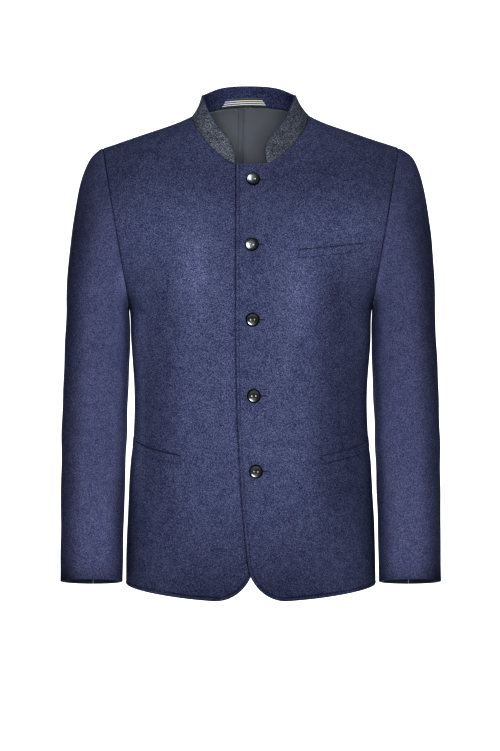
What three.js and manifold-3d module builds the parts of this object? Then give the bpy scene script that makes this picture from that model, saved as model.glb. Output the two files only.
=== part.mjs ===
// A man's loden jacket with a standing collar, hollow and filled out as when it is worn.
// Millimetres. +X is the wearer's left, -Y the front and +Z up. Heights are measured up from the
// level hem. The finished group is lowered so that its origin lies between the two neck points.
import * as THREE from 'three';
import { mergeVertices } from 'three/addons/utils/BufferGeometryUtils.js';
import Module from 'manifold-3d';

const wasm = await Module();
wasm.setup();

// Cloth walls and the clearances between pieces.
const woolWall = 2.2;
const collarWall = 1.8;
const liningWall = 1.0;
const ribbonWall = 0.8;
const seamGap = 0.3;
const lapGap = 0.7;
const liningGap = 0.9;
const weltGap = 0.5;

// Named heights and widths of the cut.
const underarmHeight = 425;
const tipHeight = 661.5;
const tipWidth = 220;
const neckPointHeight = 709.5;
const originHeight = 707;
const neckPointWidth = 88;
const neckCurve = 1.4;
const frontNeckHeight = 633;
const collarEndWidth = 24;
const backNeckDepth = 60;
const lapWidth = 22;
const cornerRadius = 52;
const hemSweep = { rise: 12.5, drop: 3, power: 1.8, reach: 200 };

// How the panels change towards the shoulder, how soon the under front comes level beside the lap,
// and how the sleeve head leaves the armhole and drops to the first sleeve ring.
const shoulderBlend = { from: 60, to: 170 };
const upperEase = 0.85;
const upperSpread = 1.25;
const lapEase = { from: 4, to: 32 };
const capCurve = { flare: 0.35, outUnder: 0.12, outTip: 0.15, downUnder: 0.25, downTip: 0.52 };

// Body rings: half width to the side seam, depth to the front and depth to the back. Above the
// underarm the side column is the width at which the ring would close if the armhole didn't cut it.
const bodyRings = [
  { height: 0, side: 187, front: 127, back: 122 },
  { height: 60, side: 186, front: 127, back: 119 },
  { height: 135, side: 183, front: 127, back: 113 },
  { height: 190, side: 180, front: 127, back: 108 },
  { height: 228, side: 175.5, front: 127, back: 105 },
  { height: 290, side: 173.6, front: 128, back: 103 },
  { height: 370, side: 178.5, front: 131, back: 109 },
  { height: 425, side: 182, front: 133, back: 115 },
  { height: 450, side: 193, front: 133, back: 117 },
  { height: 490, side: 214, front: 133, back: 120 },
  { height: 535, side: 238, front: 133, back: 122 },
  { height: 600, side: 252, front: 133, back: 122 },
  { height: 770, side: 256, front: 133, back: 122 },
];
const ringPower = 2.4;

// The front edge below the underarm is drawn back from the centre front by this much.
const edgeDraw = { amount: 14.8, reach: 350, power: 2.4 };

// The chest and back arch over to the shoulder seam within these heights.
const frontArch = { reach: 300, power: 1.5, shoulderReach: 190, shoulderPower: 2.1, centreTop: 728 };
const backArch = { reach: 200, power: 2, shoulderReach: 200, shoulderPower: 2.1, centreTop: 730 };

// The back climbs to the nape of the neck by this much, over this width to each side.
const napeLift = { height: 26, halfWidth: 130, depth: 50, from: 600, to: 700 };

// Sleeve rings, from below the armhole to the cuff: centre of the ring, half width across, half
// depth front to back, and how much the outer and front sides lie above the centre.
const sleeveRings = [
  { height: 400, across: 230.5, along: 6, width: 46, depth: 71, outerRise: 18, frontRise: 2 },
  { height: 360, across: 231.3, along: 7, width: 47.6, depth: 68, outerRise: 10, frontRise: 1 },
  { height: 310, across: 233.2, along: 6, width: 48, depth: 63.5, outerRise: 4, frontRise: 1 },
  { height: 262, across: 235, along: 4, width: 48.2, depth: 59.5, outerRise: 0, frontRise: 3 },
  { height: 215, across: 236, along: -1, width: 47.8, depth: 56, outerRise: 0, frontRise: 6 },
  { height: 165, across: 236.8, along: -8, width: 47, depth: 53, outerRise: 0, frontRise: 8 },
  { height: 112, across: 237.2, along: -17, width: 46.2, depth: 50.5, outerRise: 0, frontRise: 9 },
  { height: 60, across: 237.4, along: -26, width: 45.6, depth: 49, outerRise: 0, frontRise: 9 },
  { height: 15, across: 237.6, along: -34, width: 45.4, depth: 48, outerRise: 0, frontRise: 9 },
];
const capRings = 6;

// Collar: its width along the slope, how far it leans in to the neck, its rounded front ends, the
// point along Y that it leans towards, and how much taller its inner side is.
const collarWidth = 36;
const collarLean = THREE.MathUtils.degToRad(29);
const collarEndLength = 26;
const collarEndShare = 0.3;
const collarTowards = -6;
const collarExtra = 1.2;
const collarRows = 2;

// Lining: its pleat beside the centre back, its lowered top edge and its hem. Hanger ribbon.
const pleat = { centre: -10, halfWidth: 6, height: 2.2 };
const liningTopDrop = 3;
const liningHemRise = 18;
const ribbon = { length: 66, from: 1.5, width: 14, columns: 6 };

// Welts: height at their two ends along the lower edge, and width. The hip welts run out to just
// short of the side seam. The probe steps find the front's direction under a welt.
const weltWall = 2;
const weltEndAngle = Math.PI / 2 - 0.02;
const probe = { angle: 0.01, height: 1 };
const weltColumns = 9;
const chestWelt = { fromX: 69, toX: 160, fromHeight: 492, toHeight: 503, width: 12.5 };
const hipWelt = { fromX: 101, fromHeight: 194, toHeight: 218, width: 12.5 };

// Buttons: position across and height, and the turned shape of one.
const buttonPlaces = [
  { name: 'button_1', across: 3.6, height: 608 },
  { name: 'button_2', across: 1.5, height: 512 },
  { name: 'button_3', across: 2.6, height: 404 },
  { name: 'button_4', across: 4.4, height: 294 },
  { name: 'button_5', across: 7.4, height: 185 },
];
const button = { radius: 10, height: 3.4, dish: 1.1, rim: 2.6, holeRadius: 1.1, holeSpacing: 5.6 };

const cloth = {
  wool: { color: 0x40446a, roughness: 0.95, metalness: 0 },
  collarGrey: { color: 0x484f5c, roughness: 0.95, metalness: 0 },
  collarNavy: { color: 0x2a2f49, roughness: 0.95, metalness: 0 },
  lining: { color: 0x484b54, roughness: 0.5, metalness: 0 },
  ribbon: { color: 0x9a99ac, roughness: 0.6, metalness: 0 },
  horn: { color: 0x15151c, roughness: 0.3, metalness: 0 },
};

const { clamp, lerp, smoothstep } = THREE.MathUtils;

// Reads one column of a table with rounded joins between its rows.
function readTable(table, height, column) {
  const last = table.length - 1;
  let row = 0;
  while (row < last - 1 && height > table[row + 1].height) {
    row += 1;
  }
  const slopeAt = (k) => {
    const before = table[Math.max(k - 1, 0)];
    const after = table[Math.min(k + 1, last)];
    return (after[column] - before[column]) / (after.height - before.height);
  };
  const low = table[row];
  const high = table[row + 1];
  const span = high.height - low.height;
  const t = clamp((height - low.height) / span, 0, 1);
  const t2 = t * t;
  const t3 = t2 * t;
  return (2 * t3 - 3 * t2 + 1) * low[column] + (3 * t2 - 2 * t3) * high[column]
    + (t3 - 2 * t2 + t) * span * slopeAt(row) + (t3 - t2) * span * slopeAt(row + 1);
}

// The shoulder seam falls evenly to its tip and sweeps up a little towards the neck.
const neckSweep = { height: 5, length: 25 };
const shoulderSlope = (neckPointHeight - neckSweep.height - tipHeight) / (tipWidth - neckPointWidth);
const neckSlope = shoulderSlope + neckSweep.height / neckSweep.length;

// Height at which the front and back would meet over a point this far across.
function ridgeHeight(x, arch) {
  const across = Math.abs(x);
  if (across >= neckPointWidth) {
    const sweep = neckSweep.height * Math.exp((neckPointWidth - across) / neckSweep.length);
    return tipHeight + shoulderSlope * (tipWidth - across) + sweep;
  }
  const q = across / neckPointWidth;
  const q2 = q * q;
  const q3 = q2 * q;
  return arch.centreTop * (2 * q3 - 3 * q2 + 1) + neckPointHeight * (3 * q2 - 2 * q3)
    - neckSlope * neckPointWidth * (q3 - q2);
}

// Point on the outer face of the body. facing is -1 for the front and 1 for the back.
function bodyPoint(x, height, facing) {
  const arch = facing < 0 ? frontArch : backArch;
  const side = readTable(bodyRings, height, 'side');
  const depth = readTable(bodyRings, height, facing < 0 ? 'front' : 'back');
  const ratio = Math.min(Math.abs(x) / side, 1);
  const ring = (1 - ratio ** ringPower) ** (1 / ringPower);
  const outer = smoothstep(Math.abs(x), shoulderBlend.from, shoulderBlend.to);
  const power = lerp(arch.power, arch.shoulderPower, outer);
  const below = clamp((ridgeHeight(x, arch) - height) / lerp(arch.reach, arch.shoulderReach, outer), 0, 1);
  const y = facing * depth * ring * (1 - (1 - below) ** power) ** (1 / power);
  const nape = (1 - Math.min(Math.abs(x) / napeLift.halfWidth, 1) ** 2) ** 2
    * smoothstep(y, 0, napeLift.depth) * smoothstep(height, napeLift.from, napeLift.to);
  return new THREE.Vector3(x, y, height + napeLift.height * nape);
}

// Ring angle of a distance across, and back again.
const ringAngle = (x, side) => Math.sign(x) * Math.asin(clamp(Math.abs(x) / side, 0, 1) ** (ringPower / 2));
const ringAcross = (angle, side) => Math.sign(angle) * side * Math.abs(Math.sin(angle)) ** (2 / ringPower);

// Front edge of a front, measured from the centre front: straight above, drawn back below, with a
// rounded lower corner.
function frontEdge(height) {
  const drawn = edgeDraw.amount * Math.max((underarmHeight - height) / edgeDraw.reach, 0) ** edgeDraw.power;
  const below = clamp(cornerRadius - height, 0, cornerRadius);
  return -lapWidth + drawn + cornerRadius - Math.sqrt(cornerRadius ** 2 - below ** 2);
}

// Front neckline from the collar end to the neck point, over 0 to 1.
function frontNeckline(t) {
  const angle = t * Math.PI / 2;
  const power = 2 / neckCurve;
  return {
    x: collarEndWidth + (neckPointWidth - collarEndWidth) * Math.sin(angle) ** power,
    height: neckPointHeight - (neckPointHeight - frontNeckHeight) * Math.cos(angle) ** power,
  };
}

// Back neckline from the centre back to the neck point: an ellipse in plan, laid on the back.
function backNeckline(t) {
  const x = neckPointWidth * Math.sin(t * Math.PI / 2);
  const y = backNeckDepth * Math.cos(t * Math.PI / 2);
  const side = readTable(bodyRings, neckPointHeight, 'side');
  const depth = readTable(bodyRings, neckPointHeight, 'back') * (1 - (x / side) ** ringPower) ** (1 / ringPower);
  const rise = (1 - (1 - (y / depth) ** backArch.power) ** (1 / backArch.power));
  return { x, height: ridgeHeight(x, backArch) - backArch.reach * rise };
}

// The hem is level round the back and drops to its lowest point beside the front corners.
function hemLift(point, facing) {
  const sideways = facing < 0 ? clamp(Math.abs(point.x) / bodyRings[0].side, 0, 1) ** hemSweep.power : 1;
  return (hemSweep.rise * sideways - hemSweep.drop) * clamp(1 - point.z / hemSweep.reach, 0, 1) ** 2;
}

const shoulderSteps = 6;
const neckSteps = 5;
const upperRows = 10;
const frontRows = [0, 3, 11, 25, 42, 58, 105, 150, 190, 228, 265, 315, 370, underarmHeight];
const backRows = [0, 58, 105, 150, 190, 228, 265, 315, 370, underarmHeight];

// Top edge of each panel, as points across and heights: neckline, then shoulder seam.
function shoulderEdge() {
  const edge = [];
  for (let k = 1; k <= shoulderSteps; k += 1) {
    const x = lerp(neckPointWidth, tipWidth, k / shoulderSteps);
    edge.push({ x, height: ridgeHeight(x, frontArch) });
  }
  return edge;
}

function frontTopEdge() {
  const edge = [{ x: -lapWidth, height: frontNeckHeight }, { x: 1, height: frontNeckHeight }];
  for (let k = 0; k <= neckSteps; k += 1) {
    edge.push(frontNeckline(k / neckSteps));
  }
  return edge.concat(shoulderEdge());
}

function backTopEdge() {
  const edge = [];
  for (let k = 0; k <= neckSteps; k += 1) {
    edge.push(backNeckline(k / neckSteps));
  }
  return edge.concat(shoulderEdge());
}

// Grid of outer points of a half panel on the wearer's left, rows from the hem up and columns from
// the centre to the side seam and armhole.
function bodyGrid(facing, rowHeights, topEdge, innerEdge) {
  const columns = topEdge.length - 1;
  const acrossAt = (k, height) => {
    const side = readTable(bodyRings, height, 'side');
    const from = ringAngle(innerEdge(height), side);
    return ringAcross(lerp(from, Math.PI / 2, k / columns), side);
  };
  const grid = rowHeights.map((height) => topEdge.map((_, k) => {
    const point = bodyPoint(acrossAt(k, height), height, facing);
    point.z += hemLift(point, facing);
    return point;
  }));
  for (let row = 1; row <= upperRows; row += 1) {
    const even = row / upperRows;
    const up = lerp(even, (1 - Math.cos(Math.PI * even)) / 2, upperEase);
    grid.push(topEdge.map((top, k) => {
      const x = lerp(acrossAt(k, underarmHeight), top.x, up ** upperSpread);
      return bodyPoint(x, lerp(underarmHeight, top.height, up), facing);
    }));
  }
  return grid;
}

// Normals of a grid by central differences, pointing away from the inside point given.
function gridNormals(grid, isOutward) {
  const rows = grid.length;
  const columns = grid[0].length;
  return grid.map((line, r) => line.map((point, c) => {
    const along = grid[r][Math.min(c + 1, columns - 1)].clone().sub(grid[r][Math.max(c - 1, 0)]);
    const up = grid[Math.min(r + 1, rows - 1)][c].clone().sub(grid[Math.max(r - 1, 0)][c]);
    const normal = along.cross(up).normalize();
    return isOutward(normal, point) ? normal : normal.negate();
  }));
}

const moved = (grid, normals, distance) => grid.map((line, r) => line.map((point, c) => {
  const amount = typeof distance === 'function' ? distance(point) : distance;
  return point.clone().addScaledVector(normals[r][c], amount);
}));

// One closed wall between an outer grid and an inner grid of the same size.
function wallBetween(outer, inner) {
  const rows = outer.length;
  const columns = outer[0].length;
  const points = outer.flat().concat(inner.flat());
  const innerStart = rows * columns;
  const at = (layer, r, c) => layer * innerStart + r * columns + c;
  const faces = [];
  const quad = (a, b, c, d, turned = false) => {
    faces.push(...(turned ? [b, c, d, b, d, a] : [a, b, c, a, c, d]));
  };
  for (let r = 0; r < rows - 1; r += 1) {
    for (let c = 0; c < columns - 1; c += 1) {
      const rising = outer[r][c].distanceTo(outer[r + 1][c + 1]);
      const falling = outer[r][c + 1].distanceTo(outer[r + 1][c]);
      const turned = falling < rising;
      quad(at(0, r, c), at(0, r, c + 1), at(0, r + 1, c + 1), at(0, r + 1, c), turned);
      quad(at(1, r, c + 1), at(1, r, c), at(1, r + 1, c), at(1, r + 1, c + 1), !turned);
    }
  }
  for (let c = 0; c < columns - 1; c += 1) {
    quad(at(0, 0, c), at(1, 0, c), at(1, 0, c + 1), at(0, 0, c + 1));
    quad(at(0, rows - 1, c), at(0, rows - 1, c + 1), at(1, rows - 1, c + 1), at(1, rows - 1, c));
  }
  for (let r = 0; r < rows - 1; r += 1) {
    quad(at(0, r, 0), at(0, r + 1, 0), at(1, r + 1, 0), at(1, r, 0));
    quad(at(0, r, columns - 1), at(1, r, columns - 1), at(1, r + 1, columns - 1), at(0, r + 1, columns - 1));
  }
  return closedGeometry(points, faces);
}

// Builds the geometry, turning every face round if the signed volume says they point inwards.
function closedGeometry(points, faces) {
  let volume = 0;
  for (let k = 0; k < faces.length; k += 3) {
    const [a, b, c] = [points[faces[k]], points[faces[k + 1]], points[faces[k + 2]]];
    volume += a.dot(b.clone().cross(c)) / 6;
  }
  const index = [];
  for (let k = 0; k < faces.length; k += 3) {
    index.push(faces[k], ...(volume > 0 ? [faces[k + 1], faces[k + 2]] : [faces[k + 2], faces[k + 1]]));
  }
  const geometry = new THREE.BufferGeometry();
  geometry.setAttribute('position', new THREE.Float32BufferAttribute(points.flatMap((p) => p.toArray()), 3));
  geometry.setIndex(index);
  geometry.computeVertexNormals();
  return geometry;
}

const mirrored = (grid) => grid.map((line) => line.map((p) => new THREE.Vector3(-p.x, p.y, p.z)));
const sided = (grid, side) => (side < 0 ? mirrored(grid) : grid);

// Pulls the edge rows and columns of a grid half a seam gap inwards, so neighbours stay apart.
function trimmed(grid, edges) {
  const copy = grid.map((line) => line.map((p) => p.clone()));
  const last = grid.length - 1;
  const end = grid[0].length - 1;
  const pull = (r, c, rIn, cIn) => {
    const step = grid[rIn][cIn].clone().sub(grid[r][c]).setLength(seamGap / 2);
    copy[r][c].add(step);
  };
  for (let c = 0; c <= end; c += 1) {
    if (edges.includes('top')) {
      pull(last, c, last - 1, c);
    }
  }
  for (let r = 0; r <= last; r += 1) {
    if (edges.includes('start')) {
      pull(r, 0, r, 1);
    }
    if (edges.includes('end')) {
      pull(r, end, r, end - 1);
    }
  }
  return copy;
}

// Body normals: along the seams both neighbours share the seam's own direction.
function bodyNormals(grid, facing) {
  const normals = gridNormals(grid, (normal) => normal.y * facing > 0 || Math.abs(normal.y) < 1e-6);
  const lowerRows = grid.length - 1 - upperRows;
  const end = grid[0].length - 1;
  for (let r = 0; r <= lowerRows; r += 1) {
    normals[r][end].y = 0;
    normals[r][end].normalize();
  }
  for (let c = end - shoulderSteps; c <= end; c += 1) {
    const top = normals[grid.length - 1][c];
    top.y = 0;
    top.normalize();
  }
  return normals;
}

const frontGrid = bodyGrid(-1, frontRows, frontTopEdge(), frontEdge);
const frontNormals = bodyNormals(frontGrid, -1);
const backGrid = bodyGrid(1, backRows, backTopEdge(), () => 0);
const backNormals = bodyNormals(backGrid, 1);
backGrid.forEach((line, r) => {
  backNormals[r][0].x = 0;
  backNormals[r][0].normalize();
});

// The under front sinks by one wall where the other front laps over it.
const lapDip = (point) => {
  const reach = -frontEdge(point.z);
  return -(woolWall + lapGap) * (1 - smoothstep(point.x, reach + lapEase.from, reach + lapEase.to));
};

function frontPanel(side) {
  const dip = side < 0 ? lapDip : () => 0;
  const face = trimmed(frontGrid, ['top', 'end']);
  const outer = moved(face, frontNormals, dip);
  const inner = moved(face, frontNormals, (point) => dip(point) - woolWall);
  return wallBetween(sided(outer, side), sided(inner, side));
}

function backPanel(side) {
  const face = trimmed(backGrid, ['top', 'end', 'start']);
  const inner = moved(face, backNormals, -woolWall);
  return wallBetween(sided(face, side), sided(inner, side));
}

// Sleeve grid on the wearer's left: the armhole loop of shared seam points, then the cap drawn out
// and down to the first sleeve ring, then the rings to the cuff.
function sleeveGrid() {
  const side = frontGrid[0].length - 1;
  const backSide = backGrid[0].length - 1;
  const loop = [];
  for (let r = 0; r <= upperRows; r += 1) {
    loop.push(frontGrid[frontRows.length - 1 + r][side].clone());
  }
  for (let r = upperRows - 1; r >= 0; r -= 1) {
    loop.push(backGrid[backRows.length - 1 + r][backSide].clone());
  }
  const lengths = [0];
  for (let k = 1; k < loop.length; k += 1) {
    lengths.push(lengths[k - 1] + loop[k].distanceTo(loop[k - 1]));
  }
  const tip = upperRows;
  const turnAt = (k) => {
    const half = k <= tip ? lengths[k] / lengths[tip]
      : 1 + (lengths[k] - lengths[tip]) / (lengths[lengths.length - 1] - lengths[tip]);
    return half * Math.PI;
  };
  const centre = loop[0].clone().add(loop[tip]).multiplyScalar(0.5);
  const outwards = new THREE.Vector3(tipHeight - underarmHeight, 0, loop[0].x - tipWidth).normalize();
  const ringPoint = (ring, turn) => {
    const across = -Math.cos(turn);
    const forward = Math.sin(turn);
    return new THREE.Vector3(
      ring.across + ring.width * across,
      ring.along - ring.depth * forward,
      ring.height + ring.outerRise * across + ring.frontRise * forward,
    );
  };
  const columns = loop.map((start, k) => {
    const turn = turnAt(k);
    const outer = (1 - Math.cos(turn)) / 2;
    const end = ringPoint(sleeveRings[0], turn);
    const radial = start.clone().sub(centre).normalize();
    const leave = outwards.clone().addScaledVector(radial, capCurve.flare).normalize();
    const from = start.clone().addScaledVector(leave, seamGap);
    const reach = from.distanceTo(end);
    const out = from.clone().addScaledVector(leave, reach * lerp(capCurve.outUnder, capCurve.outTip, outer));
    const down = end.clone();
    down.z += reach * lerp(capCurve.downUnder, capCurve.downTip, outer);
    const curve = new THREE.CubicBezierCurve3(from, out, down, end);
    const line = [];
    for (let s = 0; s < capRings; s += 1) {
      line.push(curve.getPoint(s / capRings));
    }
    sleeveRings.forEach((ring) => line.push(ringPoint(ring, turn)));
    return line;
  });
  return columns[0].map((_, row) => columns.map((line) => line[row]));
}

const sleeve = sleeveGrid();
const sleeveSteps = sleeve[0].length - 1;

// Normals of the whole tube, wrapped round so that both seams agree.
function sleeveNormals(grid) {
  const rows = grid.length;
  const steps = grid[0].length - 1;
  return grid.map((line, r) => line.map((_, c) => {
    const next = (c % steps) + 1;
    const previous = (c + steps - 1) % steps;
    const along = grid[r][next].clone().sub(grid[r][previous]);
    const up = grid[Math.min(r + 1, rows - 1)][c].clone().sub(grid[Math.max(r - 1, 0)][c]);
    return up.cross(along).normalize();
  }));
}

const sleeveOut = sleeveNormals(sleeve);
const frontSeam = 1;
const elbowSeam = 15;

function sleevePiece(side, from, to) {
  const pick = (grid) => grid.map((line) => {
    const chosen = [];
    for (let c = from; c <= to; c += 1) {
      chosen.push(line[c % sleeveSteps]);
    }
    return chosen;
  });
  const face = trimmed(pick(sleeve), ['start', 'end']);
  const normals = pick(sleeveOut);
  const inner = moved(face, normals, -woolWall);
  return wallBetween(sided(face, side), sided(inner, side));
}

// Collar frame along the neckline, from the wearer's right front end round the back to the left.
function collarStations() {
  const half = [];
  const frontTop = frontGrid[frontGrid.length - 1];
  const backTop = backGrid[backGrid.length - 1];
  for (let k = 0; k <= neckSteps; k += 1) {
    half.push(backTop[k]);
  }
  for (let k = neckSteps - 1; k >= 0; k -= 1) {
    half.push(frontTop[2 + k]);
  }
  const line = mirrored([half.slice(1)])[0].reverse().concat(half);
  const toEnd = line.map(() => 0);
  const middle = half.length - 1;
  for (let k = 1; k <= middle; k += 1) {
    toEnd[k] = toEnd[k - 1] + line[k].distanceTo(line[k - 1]);
    toEnd[line.length - 1 - k] = toEnd[k];
  }
  return line.map((base, k) => {
    const inward = new THREE.Vector3(-base.x, collarTowards - base.y, 0).normalize();
    const rise = new THREE.Vector3(0, 0, Math.cos(collarLean)).addScaledVector(inward, Math.sin(collarLean));
    const along = line[Math.min(k + 1, line.length - 1)].clone().sub(line[Math.max(k - 1, 0)]).normalize();
    const out = rise.clone().cross(along).normalize();
    const rounding = 1 - clamp(toEnd[k] / collarEndLength, 0, 1);
    const width = collarWidth * lerp(collarEndShare, 1, Math.sqrt(1 - rounding ** 2));
    return { base, rise, out: out.dot(inward) < 0 ? out : out.negate(), width };
  });
}

const stations = collarStations();

const collarPoint = (station, up, inwards) => station.base.clone()
  .addScaledVector(station.rise, up).addScaledVector(station.out, -inwards);

function collarWallGrid(inwards, extra) {
  const grid = [];
  for (let row = 0; row <= collarRows; row += 1) {
    grid.push(stations.map((station) => collarPoint(
      station, lerp(seamGap, station.width + extra, row / collarRows), inwards)));
  }
  return grid;
}

function collarLayer(inwards, extra) {
  return wallBetween(collarWallGrid(inwards, extra), collarWallGrid(inwards + collarWall, extra));
}

// The ribbon lies on the inner collar at the centre back.
function hangerRibbon() {
  const middle = (stations.length - 1) / 2;
  const arc = (k) => stations[k].base.distanceTo(stations[middle].base);
  const between = (distance) => {
    const size = Math.abs(distance);
    let k = 0;
    while (arc(middle + k + 1) < size) {
      k += 1;
    }
    const share = (size - arc(middle + k)) / (arc(middle + k + 1) - arc(middle + k));
    const step = Math.sign(distance) || 1;
    const [a, b] = [stations[middle + step * k], stations[middle + step * (k + 1)]];
    return {
      base: a.base.clone().lerp(b.base, share),
      rise: a.rise.clone().lerp(b.rise, share),
      out: a.out.clone().lerp(b.out, share),
    };
  };
  const lie = 2 * collarWall + 2 * seamGap;
  const layer = (inwards) => [0, 0.5, 1].map((up) => {
    const line = [];
    for (let k = 0; k <= ribbon.columns; k += 1) {
      const distance = lerp(-ribbon.length / 2, ribbon.length / 2, k / ribbon.columns);
      line.push(collarPoint(between(distance), ribbon.from + up * ribbon.width, inwards));
    }
    return line;
  });
  return wallBetween(layer(lie), layer(lie + ribbonWall));
}

// The whole back lining, inside both back halves, with a pleat beside the centre.
function backLining() {
  const across = [...backGrid[0].keys()].filter((c) => c < 2 || c % 2 === 1 || Math.abs(c - neckSteps) < 2);
  const pleatAt = (x) => pleat.height * Math.max(0, 1 - ((x - pleat.centre) / pleat.halfWidth) ** 2);
  const line = (r) => {
    const half = across.map((c) => ({ point: backGrid[r][c].clone(), normal: backNormals[r][c] }));
    const other = half.slice(1).reverse().map(({ point, normal }) => ({
      point: new THREE.Vector3(-point.x, point.y, point.z),
      normal: new THREE.Vector3(-normal.x, normal.y, normal.z),
    }));
    const [first, second] = [other[other.length - 1], half[0]];
    const added = [-1, 0, 1].map((step) => {
      const x = pleat.centre + step * pleat.halfWidth;
      const share = clamp(x / first.point.x, 0, 1);
      return {
        point: second.point.clone().lerp(first.point, share),
        normal: second.normal.clone().lerp(first.normal, share),
        fold: pleatAt(x),
      };
    });
    return other.concat(added, half);
  };
  const rows = backGrid.map((_, r) => line(r));
  const last = rows.length - 1;
  rows[last].forEach((entry, c) => {
    const below = rows[last - 1][c].point;
    entry.point.add(below.clone().sub(entry.point).setLength(liningTopDrop));
  });
  rows[0].forEach((entry, c) => {
    entry.point.lerp(rows[1][c].point, liningHemRise / rows[1][c].point.z);
  });
  const layer = (inwards) => rows.map((entries) => entries.map(({ point, normal, fold = 0 }) => (
    point.clone().addScaledVector(normal, -(inwards + fold)))));
  const lie = woolWall + liningGap;
  return wallBetween(layer(lie), layer(lie + liningWall));
}

// A welt lies on the front, made from the front's own form moved out.
function welt(side, place) {
  const bottom = [];
  const top = [];
  const outerBottom = [];
  const outerTop = [];
  for (let k = 0; k <= weltColumns; k += 1) {
    const share = k / weltColumns;
    const height = lerp(place.fromHeight, place.toHeight, share);
    const ringSide = readTable(bodyRings, height, 'side');
    const endAngle = place.toX ? ringAngle(place.toX, ringSide) : weltEndAngle;
    const angle = lerp(ringAngle(place.fromX, ringSide), endAngle, share);
    const pointAt = (up, out) => {
      const at = (turn, z) => bodyPoint(ringAcross(turn, readTable(bodyRings, z, 'side')), z, -1);
      const z = height + up;
      const along = at(angle + probe.angle, z).sub(at(angle - probe.angle, z));
      const rise = at(angle, z + probe.height).sub(at(angle, z - probe.height));
      const normal = along.cross(rise).normalize();
      return at(angle, z).addScaledVector(normal, out);
    };
    bottom.push(pointAt(0, weltGap));
    top.push(pointAt(place.width, weltGap));
    outerBottom.push(pointAt(0, weltGap + weltWall));
    outerTop.push(pointAt(place.width, weltGap + weltWall));
  }
  return wallBetween(sided([outerBottom, outerTop], side), sided([bottom, top], side));
}

const asSolid = (geometry) => {
  const bare = geometry.clone();
  bare.deleteAttribute('normal');
  bare.deleteAttribute('uv');
  const merged = mergeVertices(bare, 1e-4);
  return new wasm.Manifold(new wasm.Mesh({
    numProp: 3,
    vertProperties: merged.attributes.position.array,
    triVerts: new Uint32Array(merged.index.array),
  }));
};

const asGeometry = (solid) => {
  const mesh = solid.getMesh();
  const geometry = new THREE.BufferGeometry();
  geometry.setAttribute('position', new THREE.BufferAttribute(new Float32Array(mesh.vertProperties), 3));
  geometry.setIndex(new THREE.BufferAttribute(new Uint32Array(mesh.triVerts), 1));
  geometry.computeVertexNormals();
  return geometry;
};

// A turned button with a raised rim, a dished middle and two holes, its back on the plane z = 0.
function buttonGeometry() {
  const { radius, height, dish, rim } = button;
  const profile = [
    [0, 0], [radius - 1.2, 0], [radius, 1.1], [radius, height - 0.9], [radius - 0.9, height],
    [radius - rim, height - 0.2], [radius - rim - 1.6, height - dish], [0, height - dish - 0.1],
  ].map(([r, y]) => new THREE.Vector2(r, y));
  const disc = new THREE.LatheGeometry(profile, 16).rotateX(Math.PI / 2);
  let solid = asSolid(disc);
  for (const side of [-1, 1]) {
    const drill = new THREE.CylinderGeometry(button.holeRadius, button.holeRadius, 3 * height, 8);
    drill.rotateX(Math.PI / 2).translate(side * button.holeSpacing / 2, 0, height / 2);
    solid = solid.subtract(asSolid(drill));
  }
  return asGeometry(solid);
}

const materials = Object.fromEntries(Object.entries(cloth).map(([name, look]) => (
  [name, new THREE.MeshStandardMaterial(look)])));

const jacket = new THREE.Group();

function add(name, geometry, materialName) {
  const mesh = new THREE.Mesh(geometry, materials[materialName].clone());
  mesh.name = name;
  jacket.add(mesh);
  return mesh;
}

const sides = [{ word: 'left', side: 1 }, { word: 'right', side: -1 }];
for (const { word, side } of sides) {
  add(`front_${word}`, frontPanel(side), 'wool');
  add(`back_${word}`, backPanel(side), 'wool');
  add(`sleeve_${word}_top`, sleevePiece(side, frontSeam, elbowSeam), 'wool');
  add(`sleeve_${word}_under`, sleevePiece(side, elbowSeam, frontSeam + sleeveSteps), 'wool');
  add(`hip_welt_${word}`, welt(side, hipWelt), 'wool');
}
add('chest_welt', welt(1, chestWelt), 'wool');
add('collar_outer', collarLayer(0, 0), 'collarGrey');
add('collar_inner', collarLayer(collarWall + seamGap, collarExtra), 'collarNavy');
add('back_lining', backLining(), 'lining');
add('hanger_ribbon', hangerRibbon(), 'ribbon');

const buttonShape = buttonGeometry();
for (const { name, across, height } of buttonPlaces) {
  const at = bodyPoint(across, height, -1);
  const half = button.radius / 2;
  const rise = bodyPoint(across, height + half, -1).sub(bodyPoint(across, height - half, -1));
  const span = bodyPoint(across + half, height, -1).sub(bodyPoint(across - half, height, -1));
  const normal = span.cross(rise).normalize();
  const mesh = add(name, buttonShape, 'horn');
  mesh.position.copy(at).addScaledVector(normal, 2 * seamGap);
  mesh.quaternion.setFromUnitVectors(new THREE.Vector3(0, 0, 1), normal);
}

const placed = new THREE.Group();
jacket.position.z = -originHeight;
placed.add(jacket);

export default placed;
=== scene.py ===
# A man's navy loden jacket with a grey standing collar, hollow and filled out as when worn.
import bpy
import math
import numpy as np
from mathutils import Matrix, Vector


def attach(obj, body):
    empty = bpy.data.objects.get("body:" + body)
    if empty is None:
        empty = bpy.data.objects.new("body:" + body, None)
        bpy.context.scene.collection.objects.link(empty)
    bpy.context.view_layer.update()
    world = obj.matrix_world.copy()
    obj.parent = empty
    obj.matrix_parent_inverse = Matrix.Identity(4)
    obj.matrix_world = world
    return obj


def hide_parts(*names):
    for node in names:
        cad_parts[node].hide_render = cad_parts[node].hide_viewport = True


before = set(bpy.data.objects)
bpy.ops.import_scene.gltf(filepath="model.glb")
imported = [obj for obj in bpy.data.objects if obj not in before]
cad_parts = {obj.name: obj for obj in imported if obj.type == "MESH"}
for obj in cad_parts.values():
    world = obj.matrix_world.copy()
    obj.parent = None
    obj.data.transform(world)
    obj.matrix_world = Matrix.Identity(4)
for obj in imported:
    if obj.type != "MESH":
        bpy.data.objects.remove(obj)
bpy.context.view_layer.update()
scene = bpy.context.scene
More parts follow.
